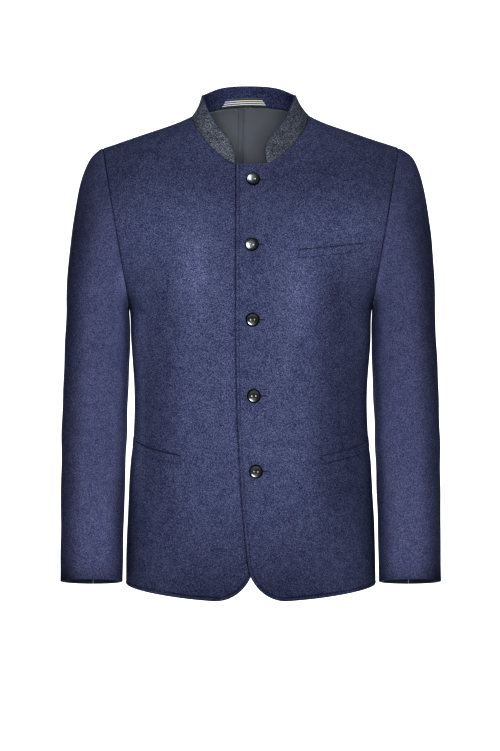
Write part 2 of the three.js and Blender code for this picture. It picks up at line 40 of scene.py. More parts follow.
mm = 0.001  # the cut is worked out in millimetres, the meshes are in metres

cut = {
    "origin": 707.0,  # height of the frame's origin above the hem
    "underarm": 425.0,
    "tipHeight": 661.5,
    "tipWidth": 220.0,
    "neckHeight": 709.5,
    "neckWidth": 88.0,
    "frontNeck": 633.0,
    "collarEnd": 24.0,
    "backNeckDepth": 60.0,
    "lap": 22.0,
    "corner": 52.0,
    "ringPower": 2.25,
    "neckPower": 2 / 1.4,
    "sweep": 5.0,
    "sweepLength": 25.0,
    "wall": 2.2,
    "lapGap": 0.7,
    "drawn": {"amount": 14.8, "reach": 350, "power": 2.4},  # front edge drawn back below the underarm
    "shoulder": {"from": 60, "reach": 110},  # where the chest's form turns into the shoulder's
    "spread": 1.25,  # how the panels widen towards the shoulder
    "ease": 0.85,
}
arches = {
    -1: {"reach": 300.0, "power": 1.5, "shoulderReach": 190.0, "shoulderPower": 2.1, "top": 728.0},
    1: {"reach": 200.0, "power": 2.0, "shoulderReach": 200.0, "shoulderPower": 2.1, "top": 730.0},
}
nape = {"height": 26.0, "halfWidth": 130.0, "depth": 50.0, "low": 600.0, "high": 700.0}
hem = {"rise": 14.0, "drop": 4.6, "power": 1.8, "reach": 200.0}

# height, half width, depth to the front, depth to the back
bodyRings = np.array([
    (0, 187, 127, 122),
    (60, 186, 127, 119),
    (135, 183, 127, 113),
    (190, 180, 127, 108),
    (228, 175.5, 127, 105),
    (290, 173.6, 128, 103),
    (370, 178.5, 131, 109),
    (425, 182, 133, 115),
    (450, 193, 133, 117),
    (490, 214, 133, 120),
    (535, 238, 133, 122),
    (600, 252, 133, 122),
    (770, 256, 133, 122),
], dtype=float)

# height, centre across, centre along, half width, half depth, outer rise, front rise
sleeveRings = np.array([
    (15, 237.6, -34, 45.4, 48, 0, 9),
    (60, 237.4, -26, 45.6, 49, 0, 9),
    (112, 237.2, -17, 46.2, 50.5, 0, 9),
    (165, 236.8, -8, 47, 53, 0, 8),
    (215, 236, -1, 47.8, 56, 0, 6),
    (262, 235, 4, 48.2, 59.5, 0, 3),
    (310, 233.2, 6, 48, 63.5, 4, 1),
    (360, 231.3, 7, 47.6, 68, 10, 1),
    (400, 230.5, 6, 46, 71, 18, 2),
], dtype=float)

def smooth(t):
    t = np.clip(t, 0, 1)
    return t * t * (3 - 2 * t)

def mix(a, b, t):
    return a + (b - a) * t

def unit(vectors):
    return vectors / np.maximum(np.linalg.norm(vectors, axis=-1, keepdims=True), 1e-9)

def readTable(table, column, height):
    heights, values = table[:, 0], table[:, column]
    height = np.asarray(height, dtype=float)
    slopes = np.empty_like(values)
    slopes[1:-1] = (values[2:] - values[:-2]) / (heights[2:] - heights[:-2])
    slopes[0] = (values[1] - values[0]) / (heights[1] - heights[0])
    slopes[-1] = (values[-1] - values[-2]) / (heights[-1] - heights[-2])
    row = np.clip(np.searchsorted(heights, height) - 1, 0, len(heights) - 2)
    span = heights[row + 1] - heights[row]
    t = np.clip((height - heights[row]) / span, 0, 1)
    t2, t3 = t * t, t * t * t
    return ((2 * t3 - 3 * t2 + 1) * values[row] + (3 * t2 - 2 * t3) * values[row + 1]
            + (t3 - 2 * t2 + t) * span * slopes[row] + (t3 - t2) * span * slopes[row + 1])

shoulderSlope = (cut["neckHeight"] - cut["sweep"] - cut["tipHeight"]) / (cut["tipWidth"] - cut["neckWidth"])
neckSlope = shoulderSlope + cut["sweep"] / cut["sweepLength"]

def ridgeHeight(x, facing):
    across = np.abs(x)
    outside = (cut["tipHeight"] + shoulderSlope * (cut["tipWidth"] - across)
               + cut["sweep"] * np.exp(np.minimum(cut["neckWidth"] - across, 0) / cut["sweepLength"]))
    q = np.minimum(across / cut["neckWidth"], 1)
    q2, q3 = q * q, q * q * q
    inside = (arches[facing]["top"] * (2 * q3 - 3 * q2 + 1) + cut["neckHeight"] * (3 * q2 - 2 * q3)
              - neckSlope * cut["neckWidth"] * (q3 - q2))
    return np.where(across >= cut["neckWidth"], outside, inside)

def bodyPoint(x, height, facing):
    x, height = np.broadcast_arrays(np.asarray(x, float), np.asarray(height, float))
    arch = arches[facing]
    side = readTable(bodyRings, 1, height)
    depth = readTable(bodyRings, 2 if facing < 0 else 3, height)
    ratio = np.minimum(np.abs(x) / side, 1)
    ring = (1 - ratio ** cut["ringPower"]) ** (1 / cut["ringPower"])
    outer = smooth((np.abs(x) - cut["shoulder"]["from"]) / cut["shoulder"]["reach"])
    power = mix(arch["power"], arch["shoulderPower"], outer)
    reach = mix(arch["reach"], arch["shoulderReach"], outer)
    below = np.clip((ridgeHeight(x, facing) - height) / reach, 0, 1)
    y = facing * depth * ring * (1 - (1 - below) ** power) ** (1 / power)
    lift = ((1 - np.minimum(np.abs(x) / nape["halfWidth"], 1) ** 2) ** 2
            * smooth(y / nape["depth"]) * smooth((height - nape["low"]) / (nape["high"] - nape["low"])))
    return np.stack([x, y, height + nape["height"] * lift], axis=-1)

def ringAngle(x, side):
    return np.sign(x) * np.arcsin(np.clip(np.abs(x) / side, 0, 1) ** (cut["ringPower"] / 2))

def ringAcross(angle, side):
    return np.sign(angle) * side * np.abs(np.sin(angle)) ** (2 / cut["ringPower"])

def frontEdge(height):
    curve = cut["drawn"]
    drawn = curve["amount"] * np.maximum((cut["underarm"] - height) / curve["reach"], 0) ** curve["power"]
    below = np.clip(cut["corner"] - height, 0, cut["corner"])
    return -cut["lap"] + drawn + cut["corner"] - np.sqrt(cut["corner"] ** 2 - below ** 2)

def frontTop(k):
    # k runs 0 to 2 over the flat neck edge, to 7 up the neckline and to 13 along the shoulder
    flat = mix(-cut["lap"], cut["collarEnd"], np.clip(k / 2, 0, 1))
    angle = np.clip((k - 2) / 5, 0, 1) * math.pi / 2
    neckX = cut["collarEnd"] + (cut["neckWidth"] - cut["collarEnd"]) * np.sin(angle) ** cut["neckPower"]
    neckZ = cut["neckHeight"] - (cut["neckHeight"] - cut["frontNeck"]) * np.cos(angle) ** cut["neckPower"]
    seamX = mix(cut["neckWidth"], cut["tipWidth"], np.clip((k - 7) / 6, 0, 1))
    x = np.where(k < 2, flat, np.where(k < 7, neckX, seamX))
    z = np.where(k < 2, cut["frontNeck"], np.where(k < 7, neckZ, ridgeHeight(seamX, -1)))
    return x, z

def backTop(k):
    # k runs 0 to 5 round the back neckline and to 11 along the shoulder
    angle = np.clip(k / 5, 0, 1) * math.pi / 2
    x = cut["neckWidth"] * np.sin(angle)
    y = cut["backNeckDepth"] * np.cos(angle)
    side = readTable(bodyRings, 1, cut["neckHeight"])
    depth = readTable(bodyRings, 3, cut["neckHeight"])
    depth = depth * (1 - (x / side) ** cut["ringPower"]) ** (1 / cut["ringPower"])
    arch = arches[1]
    drop = 1 - (1 - (y / depth) ** arch["power"]) ** (1 / arch["power"])
    z = ridgeHeight(x, 1) - arch["reach"] * drop
    seamX = mix(cut["neckWidth"], cut["tipWidth"], np.clip((k - 5) / 6, 0, 1))
    return np.where(k < 5, x, seamX), np.where(k < 5, z, ridgeHeight(seamX, 1))

def hemLift(points, facing):
    share = 1.0
    if facing < 0:
        share = np.clip(np.abs(points[..., 0]) / bodyRings[0, 1], 0, 1) ** hem["power"]
    return (hem["rise"] * share - hem["drop"]) * np.clip(1 - points[..., 2] / hem["reach"], 0, 1) ** 2

def halfGrid(facing, ks, lower, upper):
    last = 13 if facing < 0 else 11
    top = frontTop if facing < 0 else backTop
    share = ks / last
    def across(height):
        side = readTable(bodyRings, 1, height)
        start = ringAngle(frontEdge(height), side) if facing < 0 else 0.0
        return ringAcross(mix(start, math.pi / 2, share), side)
    low = bodyPoint(across(lower[:, None]), lower[:, None], facing)
    low[..., 2] += hemLift(low, facing)
    topX, topZ = top(ks)
    x = mix(across(np.array([[cut["underarm"]]])), topX[None, :], upper[:, None] ** cut["spread"])
    z = mix(cut["underarm"], topZ[None, :], upper[:, None])
    return np.concatenate([low, bodyPoint(x, z, facing)], axis=0)

def steps(*parts):
    # joins runs of evenly spaced values given as (from, to, count)
    values = [np.linspace(a, b, n, endpoint=False) for a, b, n in parts]
    return np.concatenate(values + [[parts[-1][1]]])

def eased(count):
    even = np.linspace(0, 1, count + 1)[1:]
    return mix(even, (1 - np.cos(math.pi * even)) / 2, cut["ease"])

def gridNormals(grid, wrap=False):
    up = np.gradient(grid, axis=0)
    if wrap:
        along = np.roll(grid, -1, axis=1) - np.roll(grid, 1, axis=1)
    else:
        along = np.gradient(grid, axis=1)
    return unit(np.cross(along, up))

def runLength(grid, axis):
    step = np.linalg.norm(np.diff(grid, axis=axis), axis=-1)
    total = np.cumsum(step, axis=axis)
    return np.concatenate([np.zeros_like(np.take(total, [0], axis=axis)), total], axis=axis)

def edgeDistances(grid):
    along, up = runLength(grid, 1), runLength(grid, 0)
    return {"start": along, "end": along[:, -1:] - along, "bottom": up, "top": up[-1:, :] - up}

def placed(name, data):
    made = bpy.data.objects.new(name, data)
    scene.collection.objects.link(made)
    return made

print("form ready")

view = {"distance": 3.2, "eye": 383.0, "aim": 321.0, "across": -0.0011, "frameHeight": 1.1265}

def makeCamera():
    data = bpy.data.cameras.new("camera")
    data.sensor_fit = "VERTICAL"
    data.angle = 2 * math.atan(view["frameHeight"] / 2 / view["distance"])
    data.clip_end = 100
    camera = placed("camera", data)
    eye = (view["eye"] - cut["origin"]) * mm
    aim = (view["aim"] - cut["origin"]) * mm
    camera.location = (view["across"], -view["distance"], eye)
    camera.rotation_euler = (math.pi / 2 + math.atan((aim - eye) / view["distance"]), 0, 0)
    scene.camera = camera

makeCamera()

lamps = [
    # name, place, aim, width, height, watts, whether it is meant for gloss only
    ("key", (-0.2, -3.4, -0.12), (0, 0, -0.36), 0.8, 0.8, 56, False),
    ("fill", (0.45, -3.4, -0.3), (0, 0, -0.36), 1.0, 1.0, 35, False),
    ("crown", (0, 0.5, 2.4), (0, -0.02, 0), 0.8, 0.8, 19, False),
    ("spark", (1.75, -2.6, 2.0), (0, -0.13, -0.3), 2.1, 2.8, 300, True),
    ("face", (0.3, -3.2, 1.4), (0, -0.13, -0.3), 2.6, 4.0, 34, True),
    ("back", (-1.0, 3.5, 0.4), (0, 0, -0.36), 1.3, 1.3, 100, False),
]

def makeLamps():
    for name, place, aim, width, height, watts, gloss in lamps:
        data = bpy.data.lights.new(name, "AREA")
        data.shape = "ELLIPSE"
        data.size = width
        data.size_y = height
        data.energy = watts
        lamp = placed(name, data)
        lamp.location = place
        lamp.rotation_euler = (Vector(aim) - Vector(place)).to_track_quat("-Z", "Y").to_euler()
        lamp.visible_diffuse = not gloss
        lamp.visible_glossy = gloss or place[1] > 1
        if gloss:
            data.color = (0.84, 0.92, 1)

makeLamps()

def makeWorld():
    world = bpy.data.worlds.new("studio")
    scene.world = world
    world.use_nodes = True
    tree = world.node_tree
    soft = tree.nodes["Background"]
    soft.inputs["Color"].default_value = (0.93, 0.94, 0.96, 1)
    soft.inputs["Strength"].default_value = 0.32
    white = tree.nodes.new("ShaderNodeBackground")
    white.inputs["Color"].default_value = (1, 1, 1, 1)
    choose = tree.nodes.new("ShaderNodeMixShader")
    tree.links.new(tree.nodes.new("ShaderNodeLightPath").outputs["Is Camera Ray"], choose.inputs["Fac"])
    tree.links.new(soft.outputs["Background"], choose.inputs[1])
    tree.links.new(white.outputs["Background"], choose.inputs[2])
    tree.links.new(choose.outputs["Shader"], tree.nodes["World Output"].inputs["Surface"])

makeWorld()
scene.view_settings.view_transform = "Standard"
scene.view_settings.look = "Very High Contrast"

def nodeTools(name):
    material = bpy.data.materials.new(name)
    material.use_nodes = True
    tree = material.node_tree
    shader = tree.nodes["Principled BSDF"]
    def node(kind, **values):
        made = tree.nodes.new(kind)
        for key, value in values.items():
            if key in made.inputs:
                made.inputs[key].default_value = value
            else:
                setattr(made, key, value)
        return made
    def link(a, b):
        tree.links.new(a, b)
    return material, shader, node, link

def ramp(node, link, factor, stops):
    made = node("ShaderNodeValToRGB")
    link(factor, made.inputs["Fac"])
    elements = made.color_ramp.elements
    for element, (place, colour) in zip(list(elements), (stops[0], stops[-1])):
        element.position = place
        element.color = (*colour, 1)
    for place, colour in stops[1:-1]:
        elements.new(place).color = (*colour, 1)
    return made

def relieve(node, link, shader, height, strength, distance):
    bump = node("ShaderNodeBump", Strength=strength, Distance=distance)
    link(height, bump.inputs["Height"])
    link(bump.outputs["Normal"], shader.inputs["Normal"])

def mapped(node, link, socket, value):
    # the piece's own coordinates, stretched or turned
    made = node("ShaderNodeMapping")
    made.inputs[socket].default_value = value
    link(node("ShaderNodeTexCoord").outputs["Object"], made.inputs["Vector"])
    return made.outputs["Vector"]

def srgb(r, g, b):
    return tuple(((c / 255 + 0.055) / 1.055) ** 2.4 if c > 10 else c / 255 / 12.92 for c in (r, g, b))

def meltonMaterial(name, cool, warm, grain=1.0, sheen=0.03):
    # fulled wool: flecks of dyed fibres in two shades, slow clouds and a soft nap
    material, shader, node, link = nodeTools(name)
    place = mapped(node, link, "Scale", (1.0, 1.0, 0.85))
    fibres = node("ShaderNodeTexNoise", Scale=1500 * grain, Detail=2, Roughness=0.6, Distortion=1.0)
    flecks = node("ShaderNodeTexNoise", Scale=800 * grain, Detail=2, Roughness=0.55, Distortion=0.8)
    clouds = node("ShaderNodeTexNoise", Scale=70, Detail=3, Roughness=0.5)
    shades = node("ShaderNodeTexNoise", Scale=450 * grain, Detail=2, Roughness=0.6)
    for texture in (fibres, flecks, clouds, shades):
        link(place, texture.inputs["Vector"])
    first = node("ShaderNodeMix", Factor=0.55)
    link(fibres.outputs["Fac"], first.inputs["A"])
    link(flecks.outputs["Fac"], first.inputs["B"])
    second = node("ShaderNodeMix", Factor=0.06)
    link(first.outputs["Result"], second.inputs["A"])
    link(clouds.outputs["Fac"], second.inputs["B"])
    tones = []
    for colours in (cool, warm):
        tones.append(ramp(node, link, second.outputs["Result"], list(zip((0.42, 0.5, 0.58), colours))))
    pick = ramp(node, link, shades.outputs["Fac"], [(0.42, (0, 0, 0)), (0.58, (1, 1, 1))])
    both = node("ShaderNodeMix", data_type="RGBA")
    link(pick.outputs["Color"], both.inputs["Factor"])
    link(tones[0].outputs["Color"], both.inputs[6])
    link(tones[1].outputs["Color"], both.inputs[7])
    # painted shade and painted highlight: the attribute darkens the wool towards dark blue, and lightens it
    # where negative
    paintedShadingNode = node("ShaderNodeAttribute", attribute_name="paintedShading")
    dark = node("ShaderNodeMix", data_type="RGBA", blend_type="MULTIPLY", clamp_factor=False)
    dark.inputs[7].default_value = (0.1, 0.1, 0.13, 1)
    link(paintedShadingNode.outputs["Fac"], dark.inputs["Factor"])
    link(both.outputs[2], dark.inputs[6])
    link(dark.outputs[2], shader.inputs["Base Color"])
    relieve(node, link, shader, first.outputs["Result"], 0.45, 0.0006)
    shader.inputs["Roughness"].default_value = 0.92
    shader.inputs["Specular IOR Level"].default_value = 0.05
    shader.inputs["Sheen Weight"].default_value = sheen
    shader.inputs["Sheen Roughness"].default_value = 0.45
    shader.inputs["Sheen Tint"].default_value = (*cool[2], 1)
    return material

def satinMaterial(name, colour, light, roughness=0.45):
    # twill lining: fine slanting ribs and a soft shine
    material, shader, node, link = nodeTools(name)
    ribs = node("ShaderNodeTexWave", Scale=420, Distortion=0.4, Detail=1)
    link(mapped(node, link, "Rotation", (0, 0.7, 0)), ribs.inputs["Vector"])
    clouds = node("ShaderNodeTexNoise", Scale=60, Detail=3)
    link(node("ShaderNodeTexCoord").outputs["Object"], clouds.inputs["Vector"])
    both = node("ShaderNodeMix", Factor=0.6)
    link(ribs.outputs["Fac"], both.inputs["A"])
    link(clouds.outputs["Fac"], both.inputs["B"])
    stops = ramp(node, link, both.outputs["Result"], [(0.2, colour), (0.8, light)])
    link(stops.outputs["Color"], shader.inputs["Base Color"])
    relieve(node, link, shader, ribs.outputs["Fac"], 0.15, 0.0002)
    shader.inputs["Roughness"].default_value = roughness
    shader.inputs["Sheen Weight"].default_value = 0.1
    return material

def ribbonMaterial():
    # narrow stripes along a grosgrain ribbon, read from its own map
    material, shader, node, link = nodeTools("ribbonStripe")
    spread = node("ShaderNodeSeparateXYZ")
    link(node("ShaderNodeTexCoord").outputs["UV"], spread.inputs["Vector"])
    green, edge, cream = srgb(48, 66, 62), srgb(96, 108, 110), srgb(216, 212, 200)
    lilac, blue, yellow = srgb(184, 180, 210), srgb(44, 46, 92), srgb(214, 206, 164)
    stops = ramp(node, link, spread.outputs["Y"], [
        (0.0, green), (0.235, cream), (0.325, blue), (0.43, lilac), (0.49, cream),
        (0.555, blue), (0.66, lilac), (0.72, yellow), (0.785, green), (0.955, edge)])
    stops.color_ramp.interpolation = "CONSTANT"
    link(stops.outputs["Color"], shader.inputs["Base Color"])
    ribs = node("ShaderNodeTexWave", Scale=24, wave_profile="SIN")
    link(node("ShaderNodeTexCoord").outputs["UV"], ribs.inputs["Vector"])
    relieve(node, link, shader, ribs.outputs["Fac"], 0.3, 0.0003)
    shader.inputs["Roughness"].default_value = 0.6
    return material

def hornMaterial(name, roughness, shine, coat, depth):
    # dark horn with faint streaks, polished in the dish and duller round the rim
    material, shader, node, link = nodeTools(name)
    streaks = node("ShaderNodeTexNoise", Scale=160, Detail=4, Roughness=0.6, Distortion=1.5)
    link(mapped(node, link, "Scale", (1, 1, 4)), streaks.inputs["Vector"])
    tones = [tuple(depth * c for c in srgb(*tone)) for tone in ((16, 20, 25), (26, 31, 36), (42, 47, 51))]
    stops = ramp(node, link, streaks.outputs["Fac"], list(zip((0.35, 0.6, 0.75), tones)))
    link(stops.outputs["Color"], shader.inputs["Base Color"])
    relieve(node, link, shader, streaks.outputs["Fac"], 0.08, 0.0002)
    shader.inputs["Roughness"].default_value = roughness
    shader.inputs["Specular IOR Level"].default_value = shine
    shader.inputs["Coat Weight"].default_value = coat
    shader.inputs["Coat Roughness"].default_value = 0.16
    return material

def threadMaterial(name, colour):
    material, shader, node, link = nodeTools(name)
    twist = node("ShaderNodeTexNoise", Scale=2500, Detail=2)
    link(node("ShaderNodeTexCoord").outputs["Object"], twist.inputs["Vector"])
    darker = tuple(c * 0.6 for c in colour)
    stops = ramp(node, link, twist.outputs["Fac"], [(0.35, darker), (0.65, colour)])
    link(stops.outputs["Color"], shader.inputs["Base Color"])
    shader.inputs["Roughness"].default_value = 0.7
    return material

materials = {
    "wool": meltonMaterial("navyLoden", [srgb(48, 54, 77), srgb(75, 82, 104), srgb(114, 123, 143)],
                           [srgb(50, 51, 78), srgb(77, 79, 105), srgb(118, 118, 143)], 1.12),
    "sleeveWool": meltonMaterial("navyLodenSmooth",
                                 [srgb(57, 63, 84), srgb(76, 81, 102), srgb(101, 108, 127)],
                                 [srgb(59, 60, 85), srgb(78, 78, 103), srgb(103, 103, 127)]),
    "collar": meltonMaterial("greyLoden", [srgb(38, 43, 50), srgb(72, 78, 85), srgb(129, 134, 139)],
                             [srgb(40, 43, 52), srgb(74, 77, 87), srgb(131, 132, 141)], 1.05),
    # the same navy wool made darker: painted shade for the inner collar
    "facing": meltonMaterial("navyFacing", [srgb(36, 42, 62), srgb(60, 67, 89), srgb(96, 105, 126)],
                             [srgb(38, 40, 63), srgb(62, 64, 90), srgb(98, 99, 126)]),
    "lining": satinMaterial("greyLining", srgb(103, 106, 112), srgb(109, 112, 118)),
    "sleeveLining": satinMaterial("darkLining", srgb(40, 42, 56), srgb(52, 55, 70)),
    "ribbon": ribbonMaterial(),
    "horn": hornMaterial("darkHorn", 0.28, 0.6, 0.6, 1.0),
    # round the rim the horn is a third as bright: painted shade for the rim's black look
    "hornRim": hornMaterial("dullHorn", 0.7, 0.1, 0.0, 0.3),
    "tanThread": threadMaterial("tanThread", srgb(240, 222, 184)),
    "navyThread": threadMaterial("navyThread", srgb(44, 47, 74)),
    "darkThread": threadMaterial("darkThread", srgb(22, 24, 42)),
    "cutShadow": threadMaterial("cutShadow", srgb(12, 13, 24)),
    # dark colour for the painted shadow in the pockets' mouths
    "slitShadow": threadMaterial("slitShadow", srgb(28, 31, 50)),
}

def meshObject(name, points, faces, slots, indices=None, uv=None, paintedShading=None):
    # points in millimetres above the hem
    flat = np.asarray(points, float)
    quads = np.array([f if len(f) == 4 else (*f, f[2]) for f in faces])
    a, b, c, d = (flat[quads[:, i]] for i in range(4))
    volume = (np.einsum("ij,ij->i", a, np.cross(b, c)) + np.einsum("ij,ij->i", a, np.cross(c, d))).sum()
    if volume < 0:
        faces = [tuple(reversed(f)) for f in faces]
    place = (flat - (0, 0, cut["origin"])) * mm
    mesh = bpy.data.meshes.new(name)
    mesh.from_pydata(place.tolist(), [], [tuple(int(i) for i in f) for f in faces])
    for slot in slots:
        mesh.materials.append(materials[slot])
    if indices is not None:
        mesh.polygons.foreach_set("material_index", np.asarray(indices, dtype=np.int32))
    if uv is not None:
        layer = mesh.uv_layers.new(name="map")
        loops = np.empty(len(mesh.loops), dtype=np.int32)
        mesh.loops.foreach_get("vertex_index", loops)
        layer.data.foreach_set("uv", np.asarray(uv)[loops].ravel())
    # per-point painted shade and painted highlight: above 0 darkens the colour, below 0 lightens it
    if paintedShading is not None:
        layer = mesh.attributes.new("paintedShading", "FLOAT", "POINT")
        layer.data.foreach_set("value", np.ravel(paintedShading).astype(np.float32))
    mesh.polygons.foreach_set("use_smooth", np.ones(len(mesh.polygons), dtype=bool))
    mesh.validate()
    return placed(name, mesh)

def wallFaces(rows, columns):
    r, c = np.meshgrid(np.arange(rows - 1), np.arange(columns - 1), indexing="ij")
    a = (r * columns + c).ravel()
    outer = np.stack([a, a + 1, a + columns + 1, a + columns], axis=1)
    inner = outer[:, ::-1] + rows * columns
    shift = rows * columns
    c = np.arange(columns - 1)
    r = np.arange(rows - 1)
    low = np.stack([c, c + shift, c + 1 + shift, c + 1], axis=1)
    t = (rows - 1) * columns + c
    high = np.stack([t, t + 1, t + 1 + shift, t + shift], axis=1)
    s = r * columns
    first = np.stack([s, s + columns, s + columns + shift, s + shift], axis=1)
    e = r * columns + columns - 1
    last = np.stack([e, e + shift, e + columns + shift, e + columns], axis=1)
    rims = np.concatenate([low, high, first, last])
    faces = np.concatenate([outer, inner, rims])
    index = np.concatenate([np.zeros(len(outer)), np.ones(len(inner)), np.zeros(len(rims))]).astype(int)
    return [tuple(f) for f in faces], index

def wallObject(name, outer, inner, slots, side=1, paintedShading=None):
    rows, columns = outer.shape[:2]
    points = np.concatenate([outer.reshape(-1, 3), inner.reshape(-1, 3)])
    if side < 0:
        points = points * (-1, 1, 1)
    along, up = runLength(outer, 1), runLength(outer, 0)
    one = np.stack([along / max(along.max(), 1e-6), up / np.maximum(up[-1:], 1e-6)], axis=-1).reshape(-1, 2)
    faces, index = wallFaces(rows, columns)
    if paintedShading is None:
        paintedShading = np.zeros(outer.shape[:2])
    paintedShading = np.clip(np.broadcast_to(paintedShading, outer.shape[:2]), -0.6, 1)
    index = index if len(slots) > 1 else None
    return meshObject(name, points, faces, slots, index, np.concatenate([one, one]),
                      np.stack([paintedShading, paintedShading * 0]))

def tube(points, radius, sides=8):
    # closed round tube along points
    points = np.asarray(points, float)
    along = unit(np.gradient(points, axis=0))
    helper = np.array([0.13, 0.21, 0.97])
    a = unit(np.cross(along, helper))
    b = np.cross(along, a)
    angle = np.arange(sides) * 2 * math.pi / sides
    radii = np.full(len(points), float(radius))
    radii[0] = radii[-1] = radius * 0.4
    rings = points[:, None] + radii[:, None, None] * (
        a[:, None] * np.cos(angle)[None, :, None] + b[:, None] * np.sin(angle)[None, :, None])
    faces = []
    for r in range(len(points) - 1):
        for k in range(sides):
            n = (k + 1) % sides
            faces.append((r * sides + k, r * sides + n, (r + 1) * sides + n, (r + 1) * sides + k))
    start, end = len(points) * sides, len(points) * sides + 1
    for k in range(sides):
        n = (k + 1) % sides
        faces.append((start, n, k))
        faces.append((end, (len(points) - 1) * sides + k, (len(points) - 1) * sides + n))
    return np.concatenate([rings.reshape(-1, 3), points[:1], points[-1:]]), faces

def joined(parts):
    points, faces, shift = [], [], 0
    for p, f in parts:
        points.append(p)
        faces += [tuple(i + shift for i in face) for face in f]
        shift += len(p)
    return np.concatenate(points), faces

def crease(distance, width):
    return np.exp(-(distance / width) ** 2)

def troughs(table, a, b):
    # soft uneven folds: from a, from b, to a, to b, height (below 0 sinks), half width
    total = np.zeros(np.broadcast(a, b).shape)
    for a0, b0, a1, b1, height, width in table:
        da, db = a1 - a0, b1 - b0
        t = np.clip(((a - a0) * da + (b - b0) * db) / (da * da + db * db), 0, 1)
        gap = np.hypot(a - a0 - t * da, b - b0 - t * db)
        fade = np.sin(math.pi * np.clip(0.08 + 0.84 * t, 0, 1)) ** 0.7
        total += height * fade * crease(gap, width)
    return total

def seamValley(distance, depth=0.8, width=1.6, puff=0.35):
    return puff * crease(distance - 5, 3) - depth * crease(distance, width)

print("materials and tools ready")

def rounded(free, radius, least):
    # share of a wall's thickness that is left beside a free edge
    return np.maximum(np.sqrt(1 - (1 - np.clip(free / radius, 0, 1)) ** 2), least)

# pressed seams: depth, half width, fullness beside them
seams = {"shoulder": (0.3, 1.1, 0.05), "armhole": (0.12, 1.0, 0.0), "sleeveHead": (0.12, 1.0, 0.1)}
woolEdge = {"round": 1.4, "least": 0.12}

def wallSides(grid, normals, relief, free):
    # outer and inner face of the wool, its free edge closed in a half round
    half = cut["wall"] / 2 * rounded(free, woolEdge["round"], woolEdge["least"])
    middle = relief - cut["wall"] / 2
    return grid + normals * (middle + half)[..., None], grid + normals * (middle - half)[..., None]

def splitEnd(height, end):
    # distances from the side seam and from the armhole, which share a panel's last column
    far = 99
    above = height > cut["underarm"]
    return np.where(above, far, end), np.where(above, end, far)

def trimmed(grid, edges, gap=0.15):
    # draws seam edges back by half the seam gap
    out = grid.copy()
    def pull(edge, inner):
        return edge + unit(inner - edge) * gap
    if "top" in edges:
        out[-1] = pull(grid[-1], grid[-2])
    if "start" in edges:
        out[:, 0] = pull(grid[:, 0], grid[:, 1])
    if "end" in edges:
        out[:, -1] = pull(grid[:, -1], grid[:, -2])
    return out

def wobble(a, b, seed, height=0.5):
    # slow unevenness of real cloth
    random = np.random.default_rng(seed)
    total = np.zeros(np.broadcast(a, b).shape)
    for _ in range(7):
        turn, phase = random.uniform(0, math.pi), random.uniform(0, 2 * math.pi)
        length = random.uniform(55, 150)
        total += np.sin((a * math.cos(turn) + b * math.sin(turn)) * 2 * math.pi / length + phase)
    return total * height / 4

def lineDistance(grid, line):
    # nearest distance across the cloth's face to a line of points (x, z)
    flat = grid[..., [0, 2]].reshape(-1, 2)
    best = np.full(len(flat), 1e9)
    for a, b in zip(line[:-1], line[1:]):
        step = b - a
        t = np.clip(((flat - a) @ step) / max(step @ step, 1e-9), 0, 1)
        best = np.minimum(best, np.linalg.norm(flat - a - t[:, None] * step, axis=1))
    return best.reshape(grid.shape[:2])

def finishPiece(made, nodes, flat=None, area=None):
    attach(made, "root")
    if nodes:
        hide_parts(*nodes)

# heights up to the underarm, close together in the rounded hem
lowerRows = np.concatenate([[0, 0.3, 0.7, 1.2, 2.0, 3.2], steps((5, 60, 20), (60, cut["underarm"], 112))])
upperRows = 1 - (1 - np.linspace(0, 1, 85)[1:]) ** 2  # closer together near the shoulder line

front = {
    "columns": steps((0, 0.3, 14), (0.3, 2, 34), (2, 12.8, 86), (12.8, 13, 4)),
    "stitchInset": 5.0,  # edge row of stitches, from the edge
    "stitchDepth": 0.28,
    "roll": {"height": 0.35, "inset": 2.2, "reach": 1.8},  # soft ridge between the edge and its stitches
    "lap": {"sink": 0.6, "shadow": 0.9, "levelFrom": 4, "levelReach": 28},  # under front beside the edge
    "flat": (0.276, 0.755),
    "area": 0.176,  # of the cut piece, in square metres
    "breast": {1: (70, 445), -1: (79, 480)},  # centres of the painted highlight on the breast, across and height
    # strength of the painted highlight on the breast
    "glow": {1: 0.21, -1: 0.26},
    # painted shade at the sides (depth, from start over reach), painted light at the side's edge (lit),
    # painted shade across the upper chest (chest)
    "band": {
        1: {"start": 64, "reach": 60, "depth": 0.26, "lit": 0.16, "chest": 0.13},
        -1: {"start": 84, "reach": 46, "depth": 0.13, "lit": 0.42, "chest": 0.08},
    },
    # across, height to across, height: height of the fold, half width
    "left": [
        (121, 400, 118, 236, -0.7, 2.4),
        (150, 520, 128, 330, -1.6, 20),
        (70, 600, 72, 420, 1.6, 34),
        (186, 560, 160, 440, -1.6, 13),
        (30, 560, 26, 330, -0.8, 16),
        (110, 180, 96, 30, 1.2, 30),
        (60, 190, 48, 30, -1.0, 22),
        (160, 330, 100, 290, -0.7, 12),
    ],
    "right": [
        (131, 385, 123, 236, -0.7, 2.4),
        (158, 510, 136, 320, -1.7, 18),
        (62, 610, 58, 410, 1.8, 34),
        (184, 556, 162, 436, -1.5, 13),
        (108, 300, 84, 250, 0.8, 24),
        (104, 170, 92, 26, 1.1, 28),
        (56, 180, 58, 24, -0.9, 20),
        (164, 318, 110, 300, -0.6, 12),
    ],
}

def frontLine():
    # the free edge: hem from the side seam to the corner, then up to the neck
    heights = np.concatenate([[0, 0.2, 0.6, 1.2, 2.2, 3.5], np.arange(5, 60, 3), np.arange(60, 634, 12),
                              [cut["frontNeck"]]])
    ups = np.stack([frontEdge(heights), heights], axis=-1)
    across = np.linspace(187, ups[0, 0], 40)
    low = bodyPoint(across, np.zeros(40), -1)
    low[:, 2] += hemLift(low, -1)
    edge = bodyPoint(ups[:, 0], ups[:, 1], -1)
    edge[:, 2] += hemLift(edge, -1)
    return np.concatenate([low[:, [0, 2]], edge[:, [0, 2]]])

